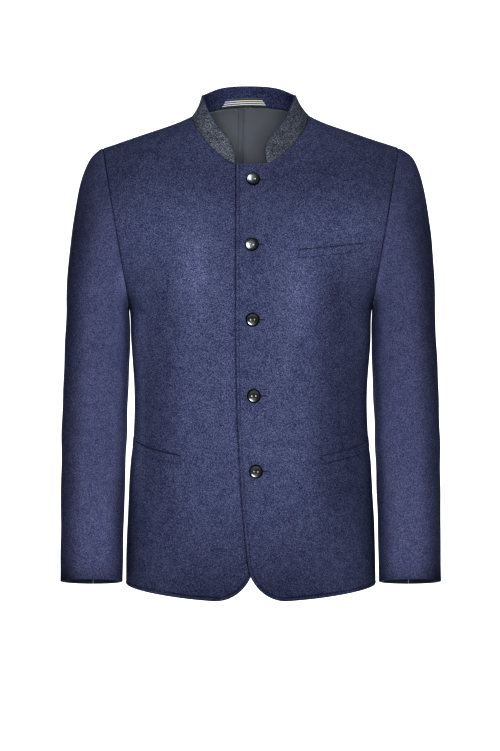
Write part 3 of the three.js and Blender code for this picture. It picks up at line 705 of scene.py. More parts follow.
welts = {
    "hip": {"fromX": 101.0, "toX": None, "fromHeight": 194.0, "toHeight": 218.0,
            "width": 12.5, "flat": (0.143, 0.0135)},
    "chest": {"fromX": 67.5, "toX": 158.5, "fromHeight": 492.0, "toHeight": 503.0,
              "width": 12.5, "flat": (0.098, 0.0133)},
    "gap": 0.3,
    "wall": 1.9,
    "round": 1.5,
    "least": 0.1,
    "slit": 0.54,  # radius of the painted shadow line in a pocket's mouth
    "slitLift": 0.4,
    "taper": {"amount": 0.7, "from": 0.75},  # hip welts thin out towards the side seam
    "tack": {"from": 0.012, "lift": 0.96},  # share of the welt's length, share of its wall
}

# painted shade on the body all over, at the hem, down the middle, across the upper chest and on the
# shoulders; edge and waist take painted shade away, as painted light at the side's edge and beside the
# underarm; breast spreads the painted highlight
bodyShading = {
    "all": 0.24,
    "edge": {"from": 146, "reach": 22},  # where the painted light on the edge of a side begins
    "waist": {"depth": 0.16, "height": 430, "reach": 70, "from": 120},
    "hem": {"depth": 0.41, "reach": 95, "power": 1.3, "sides": 0.4},
    "middle": {"depth": 0.06, "reach": 26},
    "chest": {"height": 605, "reach": 45},
    "shoulder": {"depth": 0.09, "more": 0.05},
    "breast": {"across": 26, "up": 64},
}

def bodyShade(across, height, place, strength, band):
    # painted shade and painted highlight: a painted highlight on the breast, most painted shade at the
    # sides and the hem; below 0 it paints light
    away = np.abs(across)
    edge, waist, hemShade, chest = (bodyShading[k] for k in ("edge", "waist", "hem", "chest"))
    middle, shoulder, breast = (bodyShading[k] for k in ("middle", "shoulder", "breast"))
    upper = smooth((height - 560) / 70)
    lower = smooth((height - 20) / 160) * smooth((545 - height) / 110)
    side = band["depth"] * smooth((away - band["start"]) / band["reach"]) * lower
    light = smooth((height - 90) / 120) * smooth((cut["underarm"] - height) / 40)
    side -= band["lit"] * smooth((away - edge["from"]) / edge["reach"]) * light
    nearSide = smooth((away - waist["from"]) / 40)
    side -= waist["depth"] * crease(height - waist["height"], waist["reach"]) * nearSide
    low = hemShade["depth"] * (1 - hemShade["sides"] * smooth((away - 60) / 90))
    low = low * np.exp(-(np.maximum(height, 0) / hemShade["reach"]) ** hemShade["power"])
    shade = bodyShading["all"] + side * (1 - upper) + low
    shade += middle["depth"] * crease(away, middle["reach"]) * smooth((height - 230) / 90)
    shade += band["chest"] * crease(height - chest["height"], chest["reach"]) * smooth((away - 15) / 20)
    outerTop = smooth((height - 590) / 50) * smooth((away - 60) / 60)
    shade += upper * (shoulder["depth"] + shoulder["more"] * outerTop)
    lobe = np.exp(-((away - place[0]) / breast["across"]) ** 2 - ((height - place[1]) / breast["up"]) ** 2)
    return shade - strength * lobe

def frontShade(across, height, side):
    return bodyShade(across, height, front["breast"][side], front["glow"][side], front["band"][side])

def makeFront(side):
    word = "left" if side > 0 else "right"
    ks = front["columns"]
    grid = halfGrid(-1, ks, lowerRows, upperRows)
    normals = gridNormals(grid)
    seam = slice(0, len(lowerRows))
    normals[seam, -1, 1] = 0
    normals[-1, ks >= 7, 1] = 0
    normals = unit(normals)
    distances = edgeDistances(grid)
    free = lineDistance(grid, frontLine())
    shoulder = np.where(ks[None, :] >= 6.6, distances["top"], 99)
    across, height = grid[..., 0], grid[..., 2]
    sideSeam, armhole = splitEnd(height, distances["end"])
    relief = seamValley(sideSeam) + seamValley(shoulder, *seams["shoulder"])
    relief += seamValley(armhole, *seams["armhole"]) + troughs(front[word], across, height)
    relief += wobble(across, height, 5 + side)
    relief -= front["stitchDepth"] * crease(free - front["stitchInset"], 1.0)
    roll, lap = front["roll"], front["lap"]
    relief += roll["height"] * crease(free - roll["inset"], roll["reach"])
    # painted shade in the shoulder seam, in the valley of the edge stitches and along the front edge, then
    # the body's painted shade and painted highlight
    paintedShading = 0.1 * crease(shoulder, 1.2)
    paintedShading += 0.25 * crease(free - front["stitchInset"], 0.9) + 0.3 * crease(free, 1.0)
    paintedShading += frontShade(across, height, side)
    if side < 0:
        reach = -frontEdge(height)
        paintedShading += lap["shadow"] * crease(across - reach + 0.6, 1.1) * (height < cut["frontNeck"] - 1)
        relief -= lap["sink"] * crease(across - reach, 1.6)
        level = smooth((across - reach - lap["levelFrom"]) / lap["levelReach"])
        relief = relief - (cut["wall"] + cut["lapGap"]) * (1 - level)
    face = trimmed(grid, ["top", "end"])
    outer, inner = wallSides(face, normals, relief, free)
    made = wallObject(f"front_{word}_cloth", outer, inner, ["wool", "lining"], side, paintedShading)
    finishPiece(made, [f"front_{word}"], front["flat"], front["area"])

makeFront(1)
makeFront(-1)
print("fronts cut")

back = {
    "columns": steps((0, 0.2, 4), (0.2, 10.8, 86), (10.8, 11, 4)),
    "flat": (0.25, 0.758),
    "area": 0.166,
    "blade": (80, 560),  # centre of the painted highlight on the back, across and height
    # strength of the painted highlight, then painted shade and painted light at the sides
    "glow": 0.12,
    "band": {"start": 84, "reach": 46, "depth": 0.13, "lit": 0.2, "chest": 0},
    "left": [
        (175, 600, 150, 430, -1.6, 14),
        (150, 560, 60, 470, -0.8, 18),
        (150, 300, 20, 330, -1.0, 14),
        (140, 270, 30, 280, 0.8, 12),
        (120, 660, 60, 600, -0.7, 18),
        (70, 250, 90, 40, 0.9, 26),
        (20, 690, 90, 672, -0.8, 9),
    ],
    "right": [
        (172, 606, 152, 426, -1.5, 14),
        (146, 552, 66, 476, -0.9, 17),
        (156, 312, 24, 322, -0.9, 15),
        (130, 264, 40, 276, 0.7, 12),
        (116, 656, 66, 604, -0.6, 18),
        (80, 240, 84, 50, 0.8, 26),
        (24, 688, 84, 670, -0.7, 9),
    ],
}

def makeBack(side):
    word = "left" if side > 0 else "right"
    ks = back["columns"]
    grid = halfGrid(1, ks, lowerRows, upperRows)
    normals = -gridNormals(grid)
    normals[: len(lowerRows), -1, 1] = 0
    normals[-1, ks >= 5, 1] = 0
    normals[:, 0, 0] = 0
    normals = unit(normals)
    distances = edgeDistances(grid)
    shoulder = np.where(ks[None, :] >= 4.6, distances["top"], 99)
    across, height = grid[..., 0], grid[..., 2]
    sideSeam, armhole = splitEnd(height, distances["end"])
    relief = seamValley(sideSeam) + seamValley(distances["start"])
    relief += seamValley(shoulder, *seams["shoulder"]) + seamValley(armhole, *seams["armhole"])
    relief += troughs(back[word], across, height) + wobble(across, height, 11 + side)
    face = trimmed(grid, ["top", "end", "start"])
    outer, inner = wallSides(face, normals, relief, distances["bottom"])
    # painted shade in the shoulder and centre back seams, then the body's painted shade and painted
    # highlight
    paintedShading = 0.1 * crease(shoulder, 1.2) + 0.3 * crease(distances["start"], 1.2)
    paintedShading += bodyShade(across, height, back["blade"], back["glow"], back["band"])
    made = wallObject(f"back_{word}_cloth", outer, inner, ["wool", "lining"], side, paintedShading)
    finishPiece(made, [f"back_{word}"], back["flat"], back["area"])

makeBack(1)
makeBack(-1)
print("backs cut")

sleeve = {
    "steps": 60,  # columns from the underarm to the shoulder tip
    "frontSeam": 6,
    "elbowSeam": 90,
    "round": 330.0,  # distance round the arm in which folds are placed
    "radial": 0.35,
    "out": (0.12, 0.15),
    "down": (0.25, 0.52),
    "clear": 0.12,  # from the armhole
    "cuffRows": [15, 15.4, 15.9, 16.6, 17.6],
    "armRows": (19, 400, 110),
    "headRows": [0.028, 0.018, 0.009, 0],  # shares of the way from the armhole
    # fullness on the inner side: its height, where it ends, then creases (depth, height, half width)
    "inner": {"full": 1.6, "from": 300, "reach": 90, "creases": ((3.0, 385, 36), (1.3, 408, 24))},
    "flatter": {"amount": 3.6, "turn": 0.9, "reach": 0.42},
    "lower": 2.6,
    "slimmer": {1: 0.8, -1: 3.0},
    "top": ((0.265, 0.664), 0.145),
    "under": ((0.117, 0.55), 0.048),
    # round the arm from the underarm by the front, height to the same: height of the fold, half width
    "left": [
        (60, 470, 130, 380, -1.2, 14),
        (50, 400, 110, 330, -1.4, 12),
        (48, 330, 120, 300, -1.5, 11),
        (60, 262, 128, 250, -1.3, 12),
        (50, 296, 100, 276, 0.9, 10),
        (250, 330, 200, 290, -1.4, 13),
        (262, 280, 206, 262, -1.5, 12),
        (256, 306, 214, 280, 1.0, 10),
        (120, 200, 96, 90, -0.8, 16),
        (240, 560, 220, 440, -1.2, 14),
        (110, 560, 120, 460, -1.2, 12),
        (200, 200, 190, 60, 0.8, 18),
    ],
    "right": [
        (56, 476, 126, 386, -1.1, 14),
        (52, 392, 116, 336, -1.3, 12),
        (46, 322, 118, 292, -1.5, 11),
        (62, 256, 124, 240, -1.4, 12),
        (52, 290, 104, 268, 0.8, 10),
        (252, 324, 198, 296, -1.3, 13),
        (260, 272, 208, 256, -1.5, 12),
        (254, 300, 212, 276, 1.0, 10),
        (124, 196, 98, 84, -0.7, 16),
        (238, 556, 222, 446, -1.1, 14),
        (112, 556, 118, 452, -1.2, 12),
        (202, 190, 188, 66, 0.8, 18),
    ],
}

def sleeveLoop():
    up = np.concatenate([[0], eased(sleeve["steps"])])
    # round the armhole: up its front edge, then down its back edge
    x = mix(readTable(bodyRings, 1, cut["underarm"]), cut["tipWidth"], up ** cut["spread"])
    z = mix(cut["underarm"], cut["tipHeight"] + cut["sweep"] * math.exp(
        (cut["neckWidth"] - cut["tipWidth"]) / cut["sweepLength"]), up)
    return np.concatenate([bodyPoint(x, z, -1), bodyPoint(x, z, 1)[-2:0:-1]])

def ringPoints(height, turn):
    across, along, width, depth, outer, rise = (readTable(sleeveRings, k, height) for k in range(1, 7))
    side, forward = -np.cos(turn), np.sin(turn)
    return np.stack([across + width * side, along - depth * forward,
                     height + outer * side + rise * forward], axis=-1)

def sleeveGrid():
    loop = sleeveLoop()
    count = sleeve["steps"]
    closed = np.concatenate([loop, loop[:1]])
    lengths = np.concatenate([[0], np.cumsum(np.linalg.norm(np.diff(closed, axis=0), axis=1))])
    share = np.where(lengths <= lengths[count], lengths / lengths[count],
                     1 + (lengths - lengths[count]) / (lengths[-1] - lengths[count]))[:-1]
    turn = share * math.pi
    outer = (1 - np.cos(turn)) / 2
    end = ringPoints(np.full(len(turn), sleeveRings[-1, 0]), turn)
    centre = (loop[0] + loop[count]) / 2
    outwards = unit(np.array([cut["tipHeight"] - cut["underarm"], 0, loop[0, 0] - cut["tipWidth"]]))
    leave = unit(outwards + sleeve["radial"] * unit(loop - centre))
    start = loop + leave * sleeve["clear"]
    reach = np.linalg.norm(start - end, axis=1)[:, None]
    out = start + leave * reach * mix(*sleeve["out"], outer)[:, None]
    down = end + np.array([0, 0, 1]) * reach * mix(*sleeve["down"], outer)[:, None]
    rows = []
    for height in np.concatenate([sleeve["cuffRows"], steps(sleeve["armRows"])]):
        rows.append(ringPoints(np.full(len(turn), float(height)), turn))
    for s in np.concatenate([np.linspace(1, 0.04, 40)[1:], sleeve["headRows"]]):
        rest = 1 - s
        rows.append(rest ** 3 * start + 3 * s * rest ** 2 * out + 3 * s * s * rest * down + s ** 3 * end)
    return np.array(rows), turn

sleeveForm, sleeveTurn = sleeveGrid()
sleeveNormals = gridNormals(sleeveForm, wrap=True)

# painted shade and painted light on the sleeves
sleeveShading = {
    "middle": 0.14,
    "outer": 0.46,
    "upper": 0.04,
    "elbow": {"depth": 0.08, "height": 410, "reach": 170},  # on the left sleeve only
    "inward": {1: 0.36, -1: 0.58},  # painted light on the side that faces the body
    "head": {"least": 0.12, "more": 0.2},
    "cuff": {"depth": 0.42, "height": 15, "reach": 24, "power": 1.6},
}

def sleeveShade(height, side):
    # painted shade, more on the outer half than on the inner half and the forearm, and at the head and the
    # cuff; painted light on the side that faces the body
    across = -np.cos(sleeveTurn)[None, :]
    elbow, head, cuff = (sleeveShading[k] for k in ("elbow", "head", "cuff"))
    forearm = smooth((230 - height) / 120)
    shade = sleeveShading["middle"] * crease(across + 0.05, 0.5) * (1 - 0.5 * forearm)
    shade = shade + sleeveShading["outer"] * smooth((across - 0.08) / 0.8)
    shade = shade + sleeveShading["upper"] * smooth((height - 300) / 100)
    shade = shade + elbow["depth"] * max(side, 0) * crease(height - elbow["height"], elbow["reach"])
    inward = smooth((-0.45 - across) / 0.4) * smooth((height - 110) / 110)
    shade = shade - sleeveShading["inward"][side] * inward
    top = head["least"] + head["more"] * smooth((across + 0.1) / 0.6)
    shade = mix(shade, top, smooth((height - 530) / 70))
    low = np.maximum(height - cuff["height"], 0) / cuff["reach"]
    return shade + cuff["depth"] * np.exp(-low ** cuff["power"])

def makeSleeve(side):
    word = "left" if side > 0 else "right"
    first, elbow, count = sleeve["frontSeam"], sleeve["elbowSeam"], len(sleeveTurn)
    around = np.broadcast_to(sleeveTurn / (2 * math.pi) * sleeve["round"], sleeveForm.shape[:2])
    height = sleeveForm[..., 2]
    base = wobble(np.sin(sleeveTurn)[None, :] * 60, height, 21 + side)
    base = base + troughs(sleeve[word], around, height)
    base = base * smooth((height - 8) / 40)
    inside = np.maximum(np.cos(sleeveTurn), 0)[None, :] ** 1.5
    bend = sleeve["inner"]
    fullness = bend["full"] * (1 - smooth((height - bend["from"]) / bend["reach"]))
    for depth, at, reach in bend["creases"]:
        fullness = fullness + depth * crease(height - at, reach)
    base = base + inside * fullness
    # the inner side lies flatter towards the front, the head is set a little lower
    flatter = sleeve["flatter"]
    flatter = flatter["amount"] * crease(sleeveTurn - flatter["turn"], flatter["reach"])[None, :]
    base = base + flatter * (1 - smooth((height - 380) / 80))
    armhole = edgeDistances(sleeveForm)["top"]
    outside = smooth(0.5 - np.cos(sleeveTurn) / 2)[None, :]
    base = base - outside * (sleeve["lower"] * crease(armhole - 12, 11) + sleeve["slimmer"][side]
                             * smooth((height - 440) / 120) * smooth(armhole / 30))
    base = base + seamValley(armhole, *seams["sleeveHead"])
    for part, columns, (flat, area) in (
        ("top", np.arange(first, elbow + 1), sleeve["top"]),
        ("under", np.arange(elbow, first + count + 1) % count, sleeve["under"]),
    ):
        grid, normals, relief = sleeveForm[:, columns], sleeveNormals[:, columns], base[:, columns]
        distances = edgeDistances(grid)
        relief = relief + seamValley(distances["start"]) + seamValley(distances["end"])
        face = trimmed(grid, ["start", "end"])
        outer, inner = wallSides(face, normals, relief, distances["bottom"])
        # painted shade in the seam valleys, then the sleeve's painted shade and painted light
        paintedShading = 0.3 * crease(distances["start"], 1.4) + 0.3 * crease(distances["end"], 1.4)
        paintedShading += sleeveShade(height, side)[:, columns]
        made = wallObject(f"sleeve_{word}_{part}_cloth", outer, inner, ["sleeveWool", "sleeveLining"],
                          side, paintedShading)
        finishPiece(made, [f"sleeve_{word}_{part}"], flat, area)

makeSleeve(1)
makeSleeve(-1)
print("sleeves set")

collar = {
    "width": 36.0,
    "lean": 29.0,
    "endLength": 26.0,
    "endShare": 0.3,
    "wall": 1.8,
    "gap": 0.3,
    "extra": 1.2,  # the inner side stands this much taller
    "dip": 2.8,  # how much lower the nape is
    "dipReach": 48,
    "tilt": -0.08,  # how far the collar leans to one side
    "sideAt": 118.0,
    "hollow": 2.2,  # how far the sides curve in above the neck point
    "sideReach": 34,
    "towards": -6.0,  # where, front to back, it leans in to
    "backShare": 0.52,  # share of the half line that lies on the back
    "softened": {"line": 6, "lean": 10},
    "stitch": {"depth": 0.22, "inset": 4.0, "reach": 0.9},
    "count": 241,
    "flat": (0.5, 0.038),
    "area": 0.015,
}

def soften(line, times):
    for _ in range(times):
        line[1:-1] = (line[:-2] + 2 * line[1:-1] + line[2:]) / 4

def collarFrame():
    t = np.linspace(0, 1, collar["count"] // 2 + 1)
    split = collar["backShare"]
    backK = np.clip(t / split, 0, 1) * 5
    frontK = 7 - np.clip((t - split) / (1 - split), 0, 1) * 5
    backX, backZ = backTop(backK)
    frontX, frontZ = frontTop(frontK)
    onBack = (t <= split)[:, None]
    half = np.where(onBack, bodyPoint(backX, backZ, 1), bodyPoint(frontX, frontZ, -1))
    line = np.concatenate([half[:0:-1] * (-1, 1, 1), half])
    step = np.linalg.norm(np.diff(line, axis=0), axis=1)
    run = np.concatenate([[0], np.cumsum(step)])
    even = np.linspace(0, run[-1], collar["count"])
    line = np.stack([np.interp(even, run, line[:, k]) for k in range(3)], axis=1)
    soften(line, collar["softened"]["line"])
    inward = unit(np.stack([-line[:, 0], collar["towards"] - line[:, 1], np.zeros(len(line))], axis=1))
    lean = math.radians(collar["lean"])
    rise = np.array([0, 0, math.cos(lean)]) + inward * math.sin(lean)
    along = unit(np.gradient(line, axis=0))
    out = unit(np.cross(rise, along))
    out *= np.where((out * inward).sum(axis=1) < 0, 1, -1)[:, None]
    soften(out, collar["softened"]["lean"])
    soften(rise, collar["softened"]["lean"])
    toEnd = np.minimum(even, even[-1] - even)
    rounding = 1 - np.clip(toEnd / collar["endLength"], 0, 1)
    width = collar["width"] * mix(collar["endShare"], 1, np.sqrt(1 - rounding ** 2))
    width = width - collar["dip"] * crease(even - even[-1] / 2, collar["dipReach"])
    rise = rise + np.array([collar["tilt"], 0, 0])
    return line, rise, unit(out), width, even

collarLine, collarRise, collarOut, collarWidths, collarRun = collarFrame()

def collarBow(run, share):
    # out in front and behind, hollow at the sides of the neck
    side = crease(np.abs(run - collarRun[-1] / 2) - collar["sideAt"], collar["sideReach"])
    return mix(1.0, -collar["hollow"], side) * np.sin(math.pi * np.clip(share, 0, 1))

def makeCollar(name, inwards, extra, slot, seed):
    ups = np.concatenate([np.linspace(0, 0.9, 16), [0.93, 0.955, 0.975, 0.988, 0.996, 1.0]])
    width = collarWidths + extra
    up = mix(collar["gap"], width[None, :], ups[:, None])
    share = up / width[None, :]
    bow = collarBow(collarRun[None, :], share) + wobble(collarRun[None, :], up, seed, 0.25)
    toTop = width[None, :] - up
    toEnd = np.minimum(collarRun, collarRun[-1] - collarRun)[None, :]
    free = np.minimum(toTop, toEnd)
    half = collar["wall"] / 2 * rounded(free, collar["wall"] * 0.75, woolEdge["least"])
    sewn = collar["stitch"]
    sunk = sewn["depth"] * crease(free - sewn["inset"], sewn["reach"]) if extra == 0 else 0
    centre = -(inwards + collar["wall"] / 2) + bow - sunk
    base = collarLine[None] + collarRise[None] * up[..., None]
    outer = base + collarOut[None] * (centre + half)[..., None]
    inner = base + collarOut[None] * (centre - half)[..., None]
    # painted shade on the outer collar, more on its +x half
    paintedShading = 0.06 + 0.2 * smooth((base[..., 0] - 10) / 30) if extra == 0 else None
    made = wallObject(name + "_cloth", outer, inner, [slot], 1, paintedShading)
    finishPiece(made, [name], collar["flat"], collar["area"])

makeCollar("collar_outer", 0.0, 0.0, "collar", 31)
makeCollar("collar_inner", collar["wall"] + collar["gap"], collar["extra"], "facing", 31)
print("collar set")

lining = {
    "lie": cut["wall"] + 0.9,
    "wall": 1.0,
    "hemRise": 18.0,
    "topDrop": 1.2,
    "sideDrop": 2.0,
    "columns": steps((0, 1, 14), (1, 11, 60)),
    "rows": {"lower": 70, "upper": 50},
    "fine": (-14, 3),  # columns, from the middle one, between which they are three times as close
    "flat": (0.487, 0.737),
    "area": 0.317,
    # pleat beside the centre back: across, height of the fold, half width
    "pleats": [(-20.5, 0.9, 1.2), (-17.5, -0.8, 1.1), (-12.6, 1.5, 1.3), (-9.6, -0.9, 1.2)],
}

def makeLining():
    lower = np.linspace(lining["hemRise"], cut["underarm"], lining["rows"]["lower"])
    half = halfGrid(1, lining["columns"], lower, eased(lining["rows"]["upper"]))
    normals = -gridNormals(half)
    normals[:, 0, 0] = 0
    normals = unit(normals)
    half[-1] += unit(half[-2] - half[-1]) * lining["topDrop"]
    half[:, -1] += unit(half[:, -2] - half[:, -1]) * lining["sideDrop"]
    grid = np.concatenate([half[:, :0:-1] * (-1, 1, 1), half], axis=1)
    out = np.concatenate([normals[:, :0:-1] * (-1, 1, 1), normals], axis=1)
    # finer columns across the pleat
    count = grid.shape[1]
    first, last = (count // 2 + k for k in lining["fine"])
    extra = [k + s for k in range(first, last) for s in (0.33, 0.67)]
    places = np.sort(np.concatenate([np.arange(count, dtype=float), extra]))
    low = np.clip(places.astype(int), 0, count - 2)
    part = (places - low)[None, :, None]
    grid = grid[:, low] * (1 - part) + grid[:, low + 1] * part
    out = unit(out[:, low] * (1 - part) + out[:, low + 1] * part)
    across, height = grid[..., 0], grid[..., 2]
    relief = np.zeros(grid.shape[:2])
    for place, size, width in lining["pleats"]:
        relief += size * crease(across - place, width)
    relief += 0.3 * wobble(across, height, 41, 0.5)
    centre = -(lining["lie"] + 0.5) - np.maximum(relief, -0.9)
    outer = grid + out * (centre + lining["wall"] / 2)[..., None]
    inner = grid + out * (centre - lining["wall"] / 2)[..., None]
    made = wallObject("back_lining_cloth", outer, inner, ["lining"])
    finishPiece(made, ["back_lining"], lining["flat"], lining["area"])

makeLining()
print("lining set")

ribbon = {
    "length": 75.0,
    "shift": -11.0,
    "width": 14.0,
    "fromSeam": 1.5,
    "wall": 0.8,
    "lie": 2 * collar["wall"] + 2 * collar["gap"],
    "slack": 0.9,
    "slant": 0.16,  # the ends are folded under at a slant
    "flat": (0.071, 0.0145),
    "area": 0.00093,
}

def makeRibbon():
    middle = collarRun[-1] / 2 + ribbon["shift"]
    places = middle + np.linspace(-ribbon["length"] / 2, ribbon["length"] / 2, 61)
    v = np.array([0, 0.03, 0.1, 0.25, 0.5, 0.75, 0.9, 0.97, 1.0])
    share = (places - middle) / (ribbon["length"] / 2)
    slant = 1 - ribbon["slant"] * v
    up = ribbon["fromSeam"] + v[:, None] * ribbon["width"] * np.ones_like(share)
    spread = middle + share[None, :] * ribbon["length"] / 2 * slant[:, None]
    def pickAt(table):
        return np.stack([np.interp(spread, collarRun, table[:, k]) for k in range(3)], axis=-1)
    base, rise, out = pickAt(collarLine), pickAt(collarRise), pickAt(collarOut)
    bow = collarBow(spread, up / collar["width"])
    loose = ribbon["slack"] * (1 - share[None, :] ** 4) * np.ones_like(up)
    sheet = base + rise * up[..., None]
    outer = sheet + out * (bow - ribbon["lie"] - 0.1 - loose)[..., None]
    inner = outer - out * ribbon["wall"]
    made = wallObject("hanger_ribbon_band", outer, inner, ["ribbon"])
    finishPiece(made, ["hanger_ribbon"], ribbon["flat"], ribbon["area"])

makeRibbon()
print("ribbon set")

def weltPoints(place, shares, ups):
    share, up = np.meshgrid(shares, ups)
    height = mix(place["fromHeight"], place["toHeight"], share)
    side = readTable(bodyRings, 1, height)
    last = math.pi / 2 - 0.02
    end = ringAngle(place["toX"], side) if place["toX"] else last
    angle = mix(ringAngle(place["fromX"], side), end, share)
    z = height + up * place["width"]
    def at(turn, level):
        return bodyPoint(ringAcross(turn, readTable(bodyRings, 1, level)), level, -1)
    along = at(angle + 0.01, z) - at(angle - 0.01, z)
    rise = at(angle, z + 1) - at(angle, z - 1)
    return at(angle, z), unit(np.cross(along, rise))

def frontRelief(word, points):
    return troughs(front[word], points[..., 0], points[..., 2]) + wobble(
        points[..., 0], points[..., 2], 6 if word == "left" else 4)

def makeWelt(name, place, side):
    word = "left" if side > 0 else "right"
    shares = np.concatenate([[0, 0.004, 0.009, 0.016], np.linspace(0.03, 0.97, 60),
                             [0.984, 0.991, 0.996, 1]])
    ups = np.array([0, 0.02, 0.05, 0.09, 0.15, 0.25, 0.4, 0.55, 0.7, 0.8, 0.87, 0.92, 0.96, 0.985, 1])
    base, normals = weltPoints(place, shares, ups)
    d = edgeDistances(base)
    free = np.minimum(np.minimum(d["start"], d["end"]), np.minimum(d["bottom"], d["top"]))
    profile = rounded(free, welts["round"], welts["least"])
    height = welts["gap"] + frontRelief(word, base)
    if not place["toX"]:
        taper = welts["taper"]
        thin = smooth((shares - taper["from"]) / (1 - taper["from"]))
        profile = profile * (1 - taper["amount"] * thin)[None, :]
    outer = base + normals * (height + welts["wall"] * profile)[..., None]
    inner = base + normals * height[..., None]
    # the front's painted shade and painted highlight, with painted shade along the welt's lower seam
    paintedShading = frontShade(base[..., 0], base[..., 2], side) + 0.25 * crease(d["bottom"], 0.9)
    made = wallObject(name + "_cloth", outer, inner, ["wool"], side, paintedShading)
    finishPiece(made, [name], place["flat"], None)

def makeMouthShadow(name, place, side):
    # painted shadow: a dark tube along the top edge of a welt, in the pocket's mouth
    word = "left" if side > 0 else "right"
    base, normals = weltPoints(place, np.linspace(0.0, 1.0 if place["toX"] else 0.97, 70), np.array([1.0]))
    lift = welts["slitLift"]
    line = (base + normals * (lift + frontRelief(word, base))[..., None])[0] + (0, 0, lift)
    points, faces = tube(line * (side, 1, 1), welts["slit"], 8)
    made = meshObject(name, points, faces, ["slitShadow"])
    finishPiece(made, [])

makeMouthShadow("chest_pocket_mouth_shadow", welts["chest"], 1)
makeMouthShadow("hip_pocket_mouth_shadow_left", welts["hip"], 1)
makeMouthShadow("hip_pocket_mouth_shadow_right", welts["hip"], -1)
makeWelt("chest_welt", welts["chest"], 1)
makeWelt("hip_welt_left", welts["hip"], 1)
makeWelt("hip_welt_right", welts["hip"], -1)
print("welts set")

button = {
    "places": [(3.6, 608.0), (1.5, 512.0), (2.6, 404.0), (4.4, 294.0), (7.4, 185.0)],
    "seat": 0.6,
    "holeRadius": 1.1,
    "holeSpacing": 5.6,
    # radius and height of the turned face, from the back's middle round the rim to the dish
    "profile": [(0, 0), (7.8, 0), (8.6, 0.15), (9.3, 0.6), (9.8, 1.2), (10, 1.8), (9.97, 2.4),
                (9.8, 2.9), (9.4, 3.25), (8.9, 3.4), (8.35, 3.38), (7.8, 3.22), (7.3, 2.95),
                (6.6, 2.62), (5.6, 2.34), (4.2, 2.12), (2.2, 1.98), (0, 1.94)],
    "turns": 64,
    "dish": 8.2,  # radius inside which the face is polished
    "thread": {"strands": 3, "apart": 0.42, "reach": 0.8, "low": 2.05, "arch": 0.5, "thick": 0.27},
}

def bakeMesh(holder):
    depsgraph = bpy.context.evaluated_depsgraph_get()
    depsgraph.update()
    return bpy.data.meshes.new_from_object(holder.evaluated_get(depsgraph))

def turnedMesh(name, profile, turns):
    points, faces = [], []
    rings = []
    for radius, height in profile:
        if radius == 0:
            rings.append([len(points)])
            points.append((0, 0, height))
        else:
            rings.append(list(range(len(points), len(points) + turns)))
            for k in range(turns):
                angle = 2 * math.pi * k / turns
                points.append((radius * math.cos(angle), radius * math.sin(angle), height))
    for low, high in zip(rings[:-1], rings[1:]):
        for k in range(turns):
            n = (k + 1) % turns
            if len(low) == 1:
                faces.append((low[0], high[n], high[k]))
            elif len(high) == 1:
                faces.append((low[k], low[n], high[0]))
            else:
                faces.append((low[k], low[n], high[n], high[k]))
    mesh = bpy.data.meshes.new(name)
    mesh.from_pydata(points, [], faces)
    return mesh

def buttonMesh():
    disc = placed("disc", turnedMesh("disc", button["profile"], button["turns"]))
    r = button["holeRadius"]
    drill = [(0, -1), (r, -1), (r, 1.9), (r + 0.05, 2.0), (r + 0.35, 2.35), (r + 0.35, 6), (0, 6)]
    cutters = []
    for side in (-1, 1):
        cutter = placed("drill", turnedMesh("drill", drill, 20))
        cutter.location.x = side * button["holeSpacing"] / 2
        cutters.append(cutter)
        hole = disc.modifiers.new("hole", "BOOLEAN")
        hole.operation = "DIFFERENCE"
        hole.solver = "EXACT"
        hole.object = cutter
    mesh = bakeMesh(disc)
    for made in (disc, *cutters):
        bpy.data.objects.remove(made)
    return mesh

def buttonFrame(across, height):
    at = bodyPoint(across, height, -1)
    rise = bodyPoint(across, height + 5, -1) - bodyPoint(across, height - 5, -1)
    span = bodyPoint(across + 5, height, -1) - bodyPoint(across - 5, height, -1)
    normal = unit(np.cross(span, rise))
    side = unit(np.cross(rise, normal))
    return at + normal * button["seat"], side, np.cross(normal, side), normal

def makeButtons():
    shape, thread = buttonMesh(), button["thread"]
    flat = np.empty(len(shape.vertices) * 3)
    shape.vertices.foreach_get("co", flat)
    flat = flat.reshape(-1, 3)
    faces = [tuple(p.vertices) for p in shape.polygons]
    rim = [int(math.hypot(*p.center[:2]) > button["dish"]) for p in shape.polygons]
    for k, (across, height) in enumerate(button["places"], start=1):
        origin, side, up, normal = buttonFrame(across, height)
        turn = 0.12 * math.sin(2.3 * k)
        a = side * math.cos(turn) + up * math.sin(turn)
        b = np.cross(normal, a)
        points = origin + flat[:, :1] * a + flat[:, 1:2] * b + flat[:, 2:] * normal
        mesh = bpy.data.meshes.new(f"button_{k}")
        mesh.from_pydata(((points - (0, 0, cut["origin"])) * mm).tolist(), [], faces)
        mesh.materials.append(materials["horn"])
        mesh.materials.append(materials["hornRim"])
        mesh.polygons.foreach_set("material_index", rim)
        mesh.polygons.foreach_set("use_smooth", np.ones(len(mesh.polygons), dtype=bool))
        mesh.validate()
        finishPiece(placed(f"button_{k}_turned", mesh), [f"button_{k}"])
        strands = []
        for hole in (-0.5, 0.5):
            for j in range(thread["strands"]):
                t = np.linspace(-1, 1, 9)
                arch = thread["low"] + thread["arch"] * (1 - t ** 2) - 0.12 * abs(j - 1)
                path = (origin + (hole * button["holeSpacing"] + (j - 1) * thread["apart"]) * a
                        + (t * thread["reach"])[:, None] * b + arch[:, None] * normal)
                ends = path[0] - normal * 2.0, path[-1] - normal * 2.0
                strands.append(tube([ends[0], *path, ends[1]], thread["thick"], 7))
        points, strandFaces = joined(strands)
        sewn = meshObject(f"button_{k}_thread", points, strandFaces, ["tanThread"])
        finishPiece(sewn, [])

makeButtons()
print("buttons sewn")

stitch = {
    "edge": {"length": 2.6, "pitch": 3.6, "thickness": 0.42},
    "hole": {"length": 1.2, "pitch": 0.5, "thickness": 0.36},
    "tack": {"length": 1.5, "pitch": 0.7, "thickness": 0.45},
}

